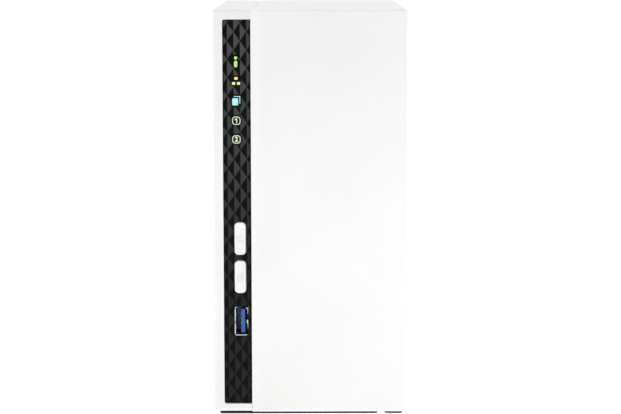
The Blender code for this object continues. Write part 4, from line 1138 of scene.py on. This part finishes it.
for socket, mouthBack, inward, material, slotName in (
    ("front_usb", 3.0, 1, pbtBlue, "usb_blue"),
    ("rear_usb_lower", 153.0, -1, nylonBlack, "connector_plastic"),
    ("rear_usb_upper", 153.0, -1, nylonBlack, "connector_plastic"),
):
    makeUsbShell(socket + "_shell", mouthBack, inward)
    makeUsbTongue(socket + "_tongue", mouthBack, inward, material)

# network socket: a contact's bend is (across from the floor, back from the mouth)
lan = {
    "floorIn": 2.0,
    "pins": 8,
    "pitch": 1.02,
    "wide": 0.45,
    "bend": ((-0.1, -1.6), (0.2, -1.6), (2.3, -9.4), (2.0, -9.9), (-0.1, -2.6)),
    "lamp": (2.2, 2.8),
    "lampInset": 0.6,
    "lampDepth": 0.3,
    "lampRise": 0.06,
}


def makeLanInside():
    low, high = spanOf("lan_port")
    floor, middle, mouth = low.x + lan["floorIn"], (low.z + high.z) / 2, high.y
    bend = [(floor + across, mouth + back) for across, back in lan["bend"]]
    wires = []
    for index in range(lan["pins"]):
        up = middle + (index - (lan["pins"] - 1) / 2) * lan["pitch"] - lan["wide"] / 2
        wires.append(flat("wire", [bend], "XY", up, lan["wide"]))
    finishPiece(gather("lanContacts", wires), "chassis", goldFlash, soft=0.05)
    wide, tall = lan["lamp"]
    inset, front, back = lan["lampInset"], mouth - lan["lampDepth"], mouth + lan["lampRise"]
    for name, up, material in (
        ("Left", low.z + inset, lightGreen),
        ("Right", high.z - inset - tall, lightAmber),
    ):
        corners = (high.x - inset - wide, front, up), (high.x - inset, back, up + tall)
        finishPiece(block("lanLamp" + name, *corners), "chassis", material, soft=0.12)


makeLanInside()
print("sockets made")

# fan
fan = {
    "hubRadius": 13.0,
    "hubRound": 2.0,
    "hubDepth": 14.2,
    "shaftRadius": 1.5,
    "blades": 7,
    "bladeSteps": (6, 8),
    # at the root and at the tip
    "radius": (12.0, 27.5),
    "chord": (11.07, 13.5),
    "bladePitch": (50.0, 32.0),
    "camber": 1.3,
    "sheet": 1.1,
}


def fanBlade(turn, centre):
    # a bowed sheet that flattens from its root to its tip, given its thickness
    work = bmesh.new()
    outSteps, chordSteps = fan["bladeSteps"]
    rows = []
    for i in range(outSteps + 1):
        share = i / outSteps
        ends = [fan[key] for key in ("radius", "chord", "bladePitch")]
        radius, chord, pitch = [root + (tip - root) * share for root, tip in ends]
        rise, run = math.sin(math.radians(pitch)), math.cos(math.radians(pitch))
        row = []
        for j in range(chordSteps + 1):
            along = j / chordSteps - 0.5
            side, bow = along * chord, fan["camber"] * (1 - 4 * along * along)
            angle = turn + (side * run - bow * rise) / radius
            axial = fan["hubDepth"] / 2 + side * rise + bow * run
            point = (radius * math.cos(angle) * mm, axial * mm, radius * math.sin(angle) * mm)
            row.append(work.verts.new(point))
        rows.append(row)
    for inner, outer in zip(rows, rows[1:]):
        for j in range(chordSteps):
            work.faces.new((inner[j], outer[j], outer[j + 1], inner[j + 1]))
    sheet = fromBmesh("blade", work, centre)
    solid = sheet.modifiers.new("thickness", "SOLIDIFY")
    solid.thickness = fan["sheet"] * mm
    solid.offset = 0
    return sheet


def makeRotor():
    low, high = spanOf("fan_rotor")
    across, up = middleOf(low, high)
    corner, hub, depth, shaft = [fan[key] for key in ("hubRound", "hubRadius", "hubDepth", "shaftRadius")]
    angles = [math.pi / 2 * step / 6 for step in range(7)]
    arc = [(hub - corner + corner * math.sin(a), corner - corner * math.cos(a)) for a in angles]
    end = high.y - low.y
    profile = [(0, 0)] + arc + [(hub, depth), (shaft, depth), (shaft, end), (0, end)]
    rotor = turned("fanRotorMoulded", (across, low.y, up), "Y", profile, 64)
    centre = Matrix.Translation(at(across, low.y, up))
    blades = [fanBlade(2 * math.pi * index / fan["blades"], centre) for index in range(fan["blades"])]
    addOn(rotor, gather("blades", blades))
    finishPiece(rotor, "rotor", pbtBlack, ["fan_rotor"], soft=0.12, angle=35)


# three wires twisted about one smooth bend from the fan to its header
cable = {
    "route": ((-19.4, 136.0, 96.0), (-31.0, 136.0, 96.0), (-20.0, 116.0, 80.0), (-28.3, 116.0, 80.0)),
    "steps": 40,
    "wireRadius": 0.52,
    "layRadius": 0.58,
    "turns": 2.5,
    "sleeves": (
        ("pvcSleeveBlack", "#1c1c1e", "#232325"),
        ("pvcSleeveRed", "#a32020", "#b52a28"),
        ("pvcSleeveYellow", "#c9a62a", "#d6b53a"),
    ),
}


def wirePoint(share, phase):
    # the route's place at this share of it, moved off it by the lay of the twist
    ends, rest = [Vector(end) for end in cable["route"]], 1 - share
    weights = (rest**3, 3 * rest**2 * share, 3 * rest * share**2, share**3)
    spot = sum((end * weight for end, weight in zip(ends, weights)), Vector())
    weights = (rest**2, 2 * rest * share, share**2)
    run = sum(((after - before) * w for before, after, w in zip(ends, ends[1:], weights)), Vector())
    side = run.cross(Vector((0, 0, 1))).normalized()
    over = run.cross(side).normalized()
    angle = 2 * math.pi * (phase + cable["turns"] * share)
    return spot + (side * math.cos(angle) + over * math.sin(angle)) * cable["layRadius"]


def makeFanWires():
    for index, sleeve in enumerate(cable["sleeves"]):
        curve = bpy.data.curves.new("wire", "CURVE")
        curve.dimensions = "3D"
        curve.bevel_depth = cable["wireRadius"] * mm
        curve.bevel_resolution = 3
        curve.use_fill_caps = True
        spline = curve.splines.new("POLY")
        spline.points.add(cable["steps"])
        for step, point in enumerate(spline.points):
            spot = wirePoint(step / cable["steps"], index / len(cable["sleeves"]))
            point.co = (*at(*spot), 1)
        wire = meshFromCurve("fanWire%d" % index, curve, Matrix.Identity(4))
        stands = ["fan_cable"] if index == 0 else ()
        finishPiece(wire, "chassis", pvcSleeve(*sleeve), stands, soft=0.0)


makeRotor()
makeFanWires()
print("fan made")

# screws: the head's radius and height, and the shank's radius
screws = {
    "drive": (3.0, 1.6, 1.4),
    "fan": (3.9, 1.9, 2.0),
    "cover": (4.2, 3.3, 1.4),
    # share of the head's radius and depth, then shares of its radius and of its height
    "crown": ((0, 0.02), (0.5, 0.06)),
    "dome": ((0.8, 0.2), (0.95, 0.45), (1.0, 0.75), (1.0, 1.0)),
    # the thread's pitch, its root as a share of the shank, and the plain ends by the head and the tip
    "pitch": 0.7,
    "root": 0.84,
    "plain": (0.4, 0.6),
    # share of the shank's radius and how far short of the end
    "tip": ((0.8, 0.5), (0.5, 0), (0, 0)),
    # the cross: its reach and width as shares of the head's radius, its depth, and the cutter's height
    "recess": (0.62, 0.28, 0.9),
    "clear": 5,
    "thumbRecess": 0.75,
    "neckIn": 0.5,
    "knurls": 28,
    "knurlDepth": 0.28,
}


def crossRecess(across, outer, inward, up, radius):
    reach, width, depth = screws["recess"]
    reach, half = radius * reach, radius * width / 2
    front, back = sorted((outer - inward * screws["clear"], outer + inward * depth))
    bars = [(reach, half), (half, reach)]
    return [block("bar", (across - w, front, up - h), (across + w, back, up + h)) for w, h in bars]


def makePanScrew(node, sizes, inward):
    low, high = spanOf(node)
    across, up = middleOf(low, high)
    outer, length = low.y if inward > 0 else high.y, high.y - low.y
    headRadius, headHeight, shankRadius = sizes
    profile = [(headRadius * wide, deep) for wide, deep in screws["crown"]]
    profile += [(headRadius * wide, headHeight * deep) for wide, deep in screws["dome"]]
    profile.append((shankRadius, headHeight))
    # the thread, as rings of its pitch
    pitch, root, (start, stop) = screws["pitch"], shankRadius * screws["root"], screws["plain"]
    base = headHeight + start
    while base + pitch < length - stop:
        profile += [(root, base), (shankRadius, base + pitch * 0.45), (root, base + pitch * 0.9)]
        base += pitch
    profile += [(shankRadius * wide, length - short) for wide, short in screws["tip"]]
    screw = turned(node + "Turned", (across, outer, up), "Y" if inward > 0 else "-Y", profile, 32)
    carve(screw, *crossRecess(across, outer, inward, up, headRadius))
    finishPiece(screw, "chassis", nickelPlatedSteel, [node], soft=0.0)


def makeThumbScrew(node, sizes):
    low, high = spanOf(node)
    across, up = middleOf(low, high)
    headRadius, headHeight, shankRadius = sizes
    knurl = []
    for index in range(screws["knurls"] * 2):
        angle = math.pi * index / screws["knurls"]
        radius = headRadius - (screws["knurlDepth"] if index % 2 else 0)
        knurl.append((across + radius * math.cos(angle), up + radius * math.sin(angle)))
    head = flat(node + "Turned", [knurl], "XZ", high.y - headHeight, headHeight)
    start = high.y - screws["neckIn"]
    addOn(head, rod("neck", (across, start, up), "-Y", shankRadius, start - low.y, 24))
    carve(head, *crossRecess(across, high.y, -1, up, headRadius * screws["thumbRecess"]))
    finishPiece(head, "chassis", nickelPlatedSteel, [node], soft=0.1)


for bay in ("drive_1", "drive_2"):
    for level in ("lower", "upper"):
        makePanScrew("%s_screw_%s" % (bay, level), screws["drive"], 1)
for number in (1, 2, 3, 4):
    makePanScrew("fan_screw_%d" % number, screws["fan"], -1)
for level in ("lower", "upper"):
    makeThumbScrew("cover_screw_" + level, screws["cover"])
print("screws made")

# drives: profiles are (radius, rise) over the lid
driveTop = {
    "centreDown": 50.0,
    "ring": ((24.4, -0.2), (25.0, 0.35), (27.0, 0.35), (27.6, -0.2)),
    "spindle": ((0, 0.45), (6.0, 0.45), (6.8, 0.21), (7.2, -0.2), (0, -0.2)),
    "screw": ((0, 0.35), (1.47, 0.35), (2.1, 0.14), (2.1, -0.1), (0, -0.1)),
    "screwInset": 6.5,
    "socket": (0.9, 0.15),
    "label": (66.0, 52.0),
    "labelUp": 12.0,
    "labelSheet": 0.12,
    "labelRound": 1.5,
}


def makeDriveTop(bay):
    low, high = spanOf(bay + "_lid")
    middle, face = (low.y + high.y) / 2, high.x
    centre = (face, middle, high.z - driveTop["centreDown"])
    # a pressed ring over the platters, and the round cap of their spindle
    profile = list(driveTop["ring"])
    press = turned(bay + "PressedRing", centre, "X", profile + profile[:1], 96)
    finishPiece(press, "chassis", brushedStainless, soft=0.0)
    spindle = turned(bay + "SpindleCap", centre, "X", driveTop["spindle"], 48)
    finishPiece(spindle, "chassis", castAluminium, soft=0.0)
    wide, tall = driveTop["label"]
    left, bottom = middle - wide / 2, low.z + driveTop["labelUp"]
    outline = rectangle((left, bottom), (left + wide, bottom + tall), driveTop["labelRound"])
    label = flat(bay + "BlankLabel", [outline], "YZ", face, driveTop["labelSheet"])
    finishPiece(label, "chassis", paperCoated, soft=0.03)
    heads = []
    inset, (radius, start) = driveTop["screwInset"], driveTop["socket"]
    for back in (low.y + inset, high.y - inset):
        for up in (low.z + inset, (low.z + high.z) / 2, high.z - inset):
            head = turned("head", (face, back, up), "X", driveTop["screw"], 24)
            heads.append(carve(head, rod("socket", (face + start, back, up), "X", radius, 2, 6)))
    finishPiece(gather(bay + "LidScrews", heads), "chassis", nickelPlatedSteel, soft=0.0)


for bay in ("drive_1", "drive_2"):
    makeDriveTop(bay)
print("drives made")

# small parts on the main board: each starts with its place (back, up) on the board's face
boardParts = {
    # radius and rise
    "cans": (
        (128, 150, 4.0, 9.0),
        (128, 162, 4.0, 9.0),
        (98, 32, 4.0, 9.0),
        (109, 32, 4.0, 9.0),
        (120, 32, 3.2, 7.0),
    ),
    # side and rise
    "coils": ((84, 56, 7.0, 4.0), (96, 56, 7.0, 4.0), (24, 100, 6.0, 3.0)),
    "coilRound": 1.2,
    # length, width and rise, with a gap under each
    "chipGap": 0.1,
    "chips": (
        (99, 94, 9, 9, 1.1),
        (58, 126, 14, 9, 1.1),
        (26, 64, 7, 7, 0.9),
        (118, 124, 6, 8, 1.2),
        (76, 150, 10, 6, 1.1),
        (30, 28, 6, 5, 1.0),
    ),
    "leg": {"pitch": 0.8, "wide": 0.35, "long": 1.0, "under": 0.1},
    # how many stand in a row
    "passiveRows": (
        (70, 84, 6), (70, 118, 5), (92, 108, 7), (20, 80, 5), (60, 144, 6), (110, 62, 5),
        (36, 60, 8), (90, 74, 6), (24, 120, 5), (100, 168, 9), (40, 168, 8),
    ),
    "passive": (1.9, 1.1, 0.8),
    "passiveGap": 0.9,
}


def canProfile(radius, rise):
    # a can with a crimped neck and a rolled rim
    return [
        (0, 0), (radius, 0), (radius, 0.6), (radius - 0.35, 1.1), (radius, 1.6),
        (radius, rise - 0.5), (radius - 0.5, rise), (radius - 0.9, rise - 0.15), (0, rise - 0.15),
    ]


def chipLegs(face, back, up, length, width):
    leg = boardParts["leg"]
    legs = []
    for index in range(int(width / leg["pitch"]) - 1):
        low = up + leg["pitch"] * (index + 1) - leg["wide"] / 2
        for start in (back + leg["under"] - leg["long"], back + length - leg["under"]):
            corner = (face + leg["wide"], start + leg["long"], low + leg["wide"])
            legs.append(block("leg", (face, start, low), corner))
    return legs


def makeBoardParts():
    face = spanOf("main_board")[1].x
    cans, coils, chips, legs, passives = [], [], [], [], []
    for back, up, radius, rise in boardParts["cans"]:
        cans.append(turned("can", (face, back, up), "X", canProfile(radius, rise), 32))
    for back, up, size, rise in boardParts["coils"]:
        outline = rectangle((back, up), (back + size, up + size), boardParts["coilRound"])
        coils.append(flat("coil", [outline], "YZ", face, rise))
    for back, up, length, width, rise in boardParts["chips"]:
        under = (face + boardParts["chipGap"], back, up)
        chips.append(block("chip", under, (face + rise, back + length, up + width)))
        legs += chipLegs(face, back, up, length, width)
    length, width, rise = boardParts["passive"]
    for back, up, count in boardParts["passiveRows"]:
        for index in range(count):
            start = back + index * (length + boardParts["passiveGap"])
            passives.append(block("passive", (face, start, up), (face + rise, start + length, up + width)))
    for name, pieces, material, slotName, soft in (
        ("boardCans", cans, castAluminium, "aluminium", 0.0),
        ("boardCoils", coils, nylonBlack, "connector_plastic", 0.3),
        ("boardChips", chips, epoxyMoulded, "chip_epoxy", 0.12),
        ("boardChipLegs", legs, nickelPlatedSteel, "plated_steel", 0.0),
        ("boardPassives", passives, ceramicFired, "chip_epoxy", 0.08),
    ):
        finishPiece(gather(name, pieces), "chassis", material, soft=soft)


makeBoardParts()
print("board parts made")

# solids whose shape is already right: edges softened and material given


def dress(material, soft, *nodeNames):
    for nodeName in nodeNames:
        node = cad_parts[nodeName]
        node.data.materials.clear()
        node.data.materials.append(material)
        node.data.shade_smooth()
        weld = node.modifiers.new("welded corners", "WELD")
        weld.merge_threshold = 0.00001
        if soft:
            bevel = node.modifiers.new("soft edges", "BEVEL")
            bevel.width = soft * mm
            bevel.segments = 2
            bevel.limit_method = "ANGLE"
            bevel.angle_limit = math.radians(35)
        node.modifiers.new("even shading", "WEIGHTED_NORMAL")


dress(solderMaskLacquer, 0.08, "main_board", "drive_backplane", "drive_1_board", "drive_2_board")
dress(epoxyMoulded, 0.15, "processor", "memory_chip")
dress(anodisedAluminium, 0.12, "heat_sink")
dress(nickelPlatedSteel, 0.15, "power_switch", "copy_switch", "coin_cell", "power_jack_pin", "lan_port")
dress(nylonBlack, 0.2, "fan_header", "power_jack", "reset_switch")
dress(nylonBlack, 0.2, "drive_1_socket", "drive_2_socket", "riser_socket")
dress(nylonBlack, 0.1, "reset_plunger")
dress(epoxyDiffused, 0.15, "status_led", "lan_led", "copy_led", "drive_1_led", "drive_2_led")
dress(acrylicPolished, 0.15, "light_guide")
dress(powderCoatedSteel, 0.2, "rear_panel")
dress(pbtBlack, 0.3, "fan_frame")
dress(castAluminium, 0.4, "drive_1_case", "drive_2_case")
dress(brushedStainless, 0.3, "drive_1_lid", "drive_2_lid")
dress(zincPlatedSteel, 0.2, "drive_cage")
print("remaining solids dressed")


# feet: the grooves run across the pad and grip the desk
foot = {"corner": 1.6, "grooves": 3, "first": 2.2, "step": 2.3, "inset": 1.5, "wide": 0.5, "deep": 0.25}


def makeFoot(node, body):
    low, high = spanOf(node)
    high.z = casing["underside"]
    outline = rectangle((low.x, low.y), (high.x, high.y), foot["corner"], 8)
    pad = flat(node + "Pad", [outline], "XY", low.z, high.z - low.z)
    grooves = []
    left, right = low.x + foot["inset"], high.x - foot["inset"]
    for index in range(foot["grooves"]):
        back = low.y + foot["first"] + index * foot["step"]
        end = (right, back + foot["wide"], low.z + foot["deep"])
        grooves.append(block("groove", (left, back, low.z - 1), end))
    carve(pad, gather("grooves", grooves))
    finishPiece(pad, body, rubberMoulded, [node], soft=0.12)


makeFoot("front_foot_bar", "chassis")
makeFoot("rear_foot_bar", "chassis")
makeFoot("cover_foot_front", "cover")
makeFoot("cover_foot_rear", "cover")
print("feet made")

# studio: places in metres, angles in degrees
studio = {
    "cameraPlace": (0.00044, -1.0791, 0.2167),
    "pitchDown": 6.78,
    "roll": 0.13,
    "lensMm": 126.9,
    "sensorMm": 36.0,
    "clip": (0.05, 20.0),
    "floorSide": 12.0,
    "fibreMm": 25.0,  # far coarser than a real fibre, so that it still shows
    "floorGrey": 0.45,
    "floorGlow": 0.94,
    # each glow of the room: its direction, the cosines where it starts and is full, its strength
    "glows": (
        ((0, 0.15, 1), 0.45, 0.95, 1.35),
        ((0.85, 0.5, 0.15), -0.2, 0.85, 0.78),
        ((-1, 0.03, -0.08), 0.85, 0.97, 2.4),
    ),
    # each softbox: its place, what it points at, its size, power and spread
    "fillLeft": ((-2.1, -1.3, 0.55), (0, -0.08, 0.09), (0.9, 1.2), 11.8, 180),
    "keyLowRight": ((0.34, -0.80, 0.16), (0.07, -0.078, 0.05), (0.16, 0.16), 0.0322, 30),
}


def makeCamera():
    lens = bpy.data.cameras.new("camera")
    lens.lens, lens.sensor_width = studio["lensMm"], studio["sensorMm"]
    lens.clip_start, lens.clip_end = studio["clip"]
    camera = bpy.data.objects.new("camera", lens)
    camera.location = studio["cameraPlace"]
    camera.rotation_euler = (math.radians(90 - studio["pitchDown"]), math.radians(studio["roll"]), 0)
    bpy.context.scene.collection.objects.link(camera)
    bpy.context.scene.camera = camera


def makeSoftbox(name):
    place, target, size, power, spread = studio[name]
    light = bpy.data.lights.new(name, "AREA")
    light.shape = "RECTANGLE"
    light.size, light.size_y = size
    light.energy = power
    light.spread = math.radians(spread)
    lamp = bpy.data.objects.new(name, light)
    lamp.location = place
    lamp.rotation_euler = (Vector(target) - Vector(place)).to_track_quat("-Z", "Y").to_euler()
    bpy.context.scene.collection.objects.link(lamp)


def makeFloor():
    work = bmesh.new()
    bmesh.ops.create_grid(work, x_segments=2, y_segments=2, size=studio["floorSide"] / 2)
    floor = fromBmesh("studioFloor", work, Matrix.Identity(4))
    # matte paper that glows a little, so that no shadow falls on it
    material, tree, shader, place = newMaterial("paperSweep")
    size = {"Scale": 1 / (studio["fibreMm"] * mm), "Detail": 4.0}
    fibres = addNode(tree, "ShaderNodeTexNoise", size, {"Vector": place}).outputs[0]
    rough = addNode(tree, "ShaderNodeMapRange", {"To Min": 0.85, "To Max": 1.0}, {"Value": fibres}).outputs[0]
    tree.links.new(rough, shader.inputs["Roughness"])
    shader.inputs["Base Color"].default_value = (*[studio["floorGrey"]] * 3, 1)
    shader.inputs["Specular IOR Level"].default_value = 0.0
    shader.inputs["Emission Color"].default_value = (1, 1, 1, 1)
    shader.inputs["Emission Strength"].default_value = studio["floorGlow"]
    floor.data.materials.append(material)


def makeWorld():
    # soft glows round the object, behind a plain white that only the camera sees
    world = bpy.data.worlds.new("studioLight")
    world.use_nodes = True
    bpy.context.scene.world = world
    tree = world.node_tree
    tree.nodes.clear()
    facing = addNode(tree, "ShaderNodeTexCoord").outputs["Generated"]
    light = None
    for direction, start, full, strength in studio["glows"]:
        towards = {1: Vector(direction).normalized()}
        dot = addNode(tree, "ShaderNodeVectorMath", towards, {0: facing}, operation="DOT_PRODUCT")
        glow = addNode(
            tree,
            "ShaderNodeMapRange",
            {"From Min": start, "From Max": full, "To Min": 0.0, "To Max": strength},
            {"Value": dot.outputs["Value"]},
            interpolation_type="SMOOTHSTEP",
        ).outputs[0]
        if light is None:
            light = glow
            continue
        light = addNode(tree, "ShaderNodeMath", {}, {0: light, 1: glow}, operation="ADD").outputs[0]
    white = {"Color": (1, 1, 1, 1)}
    lit = addNode(tree, "ShaderNodeBackground", white, {"Strength": light}).outputs[0]
    seen = addNode(tree, "ShaderNodeBackground", white).outputs[0]
    ray = addNode(tree, "ShaderNodeLightPath").outputs["Is Camera Ray"]
    both = addNode(tree, "ShaderNodeMixShader", {}, {0: ray, 1: lit, 2: seen}).outputs[0]
    addNode(tree, "ShaderNodeOutputWorld", {}, {"Surface": both})


makeCamera()
makeFloor()
makeWorld()
makeSoftbox("fillLeft")
makeSoftbox("keyLowRight")
bpy.context.scene.view_settings.view_transform = "Standard"
print("studio made")
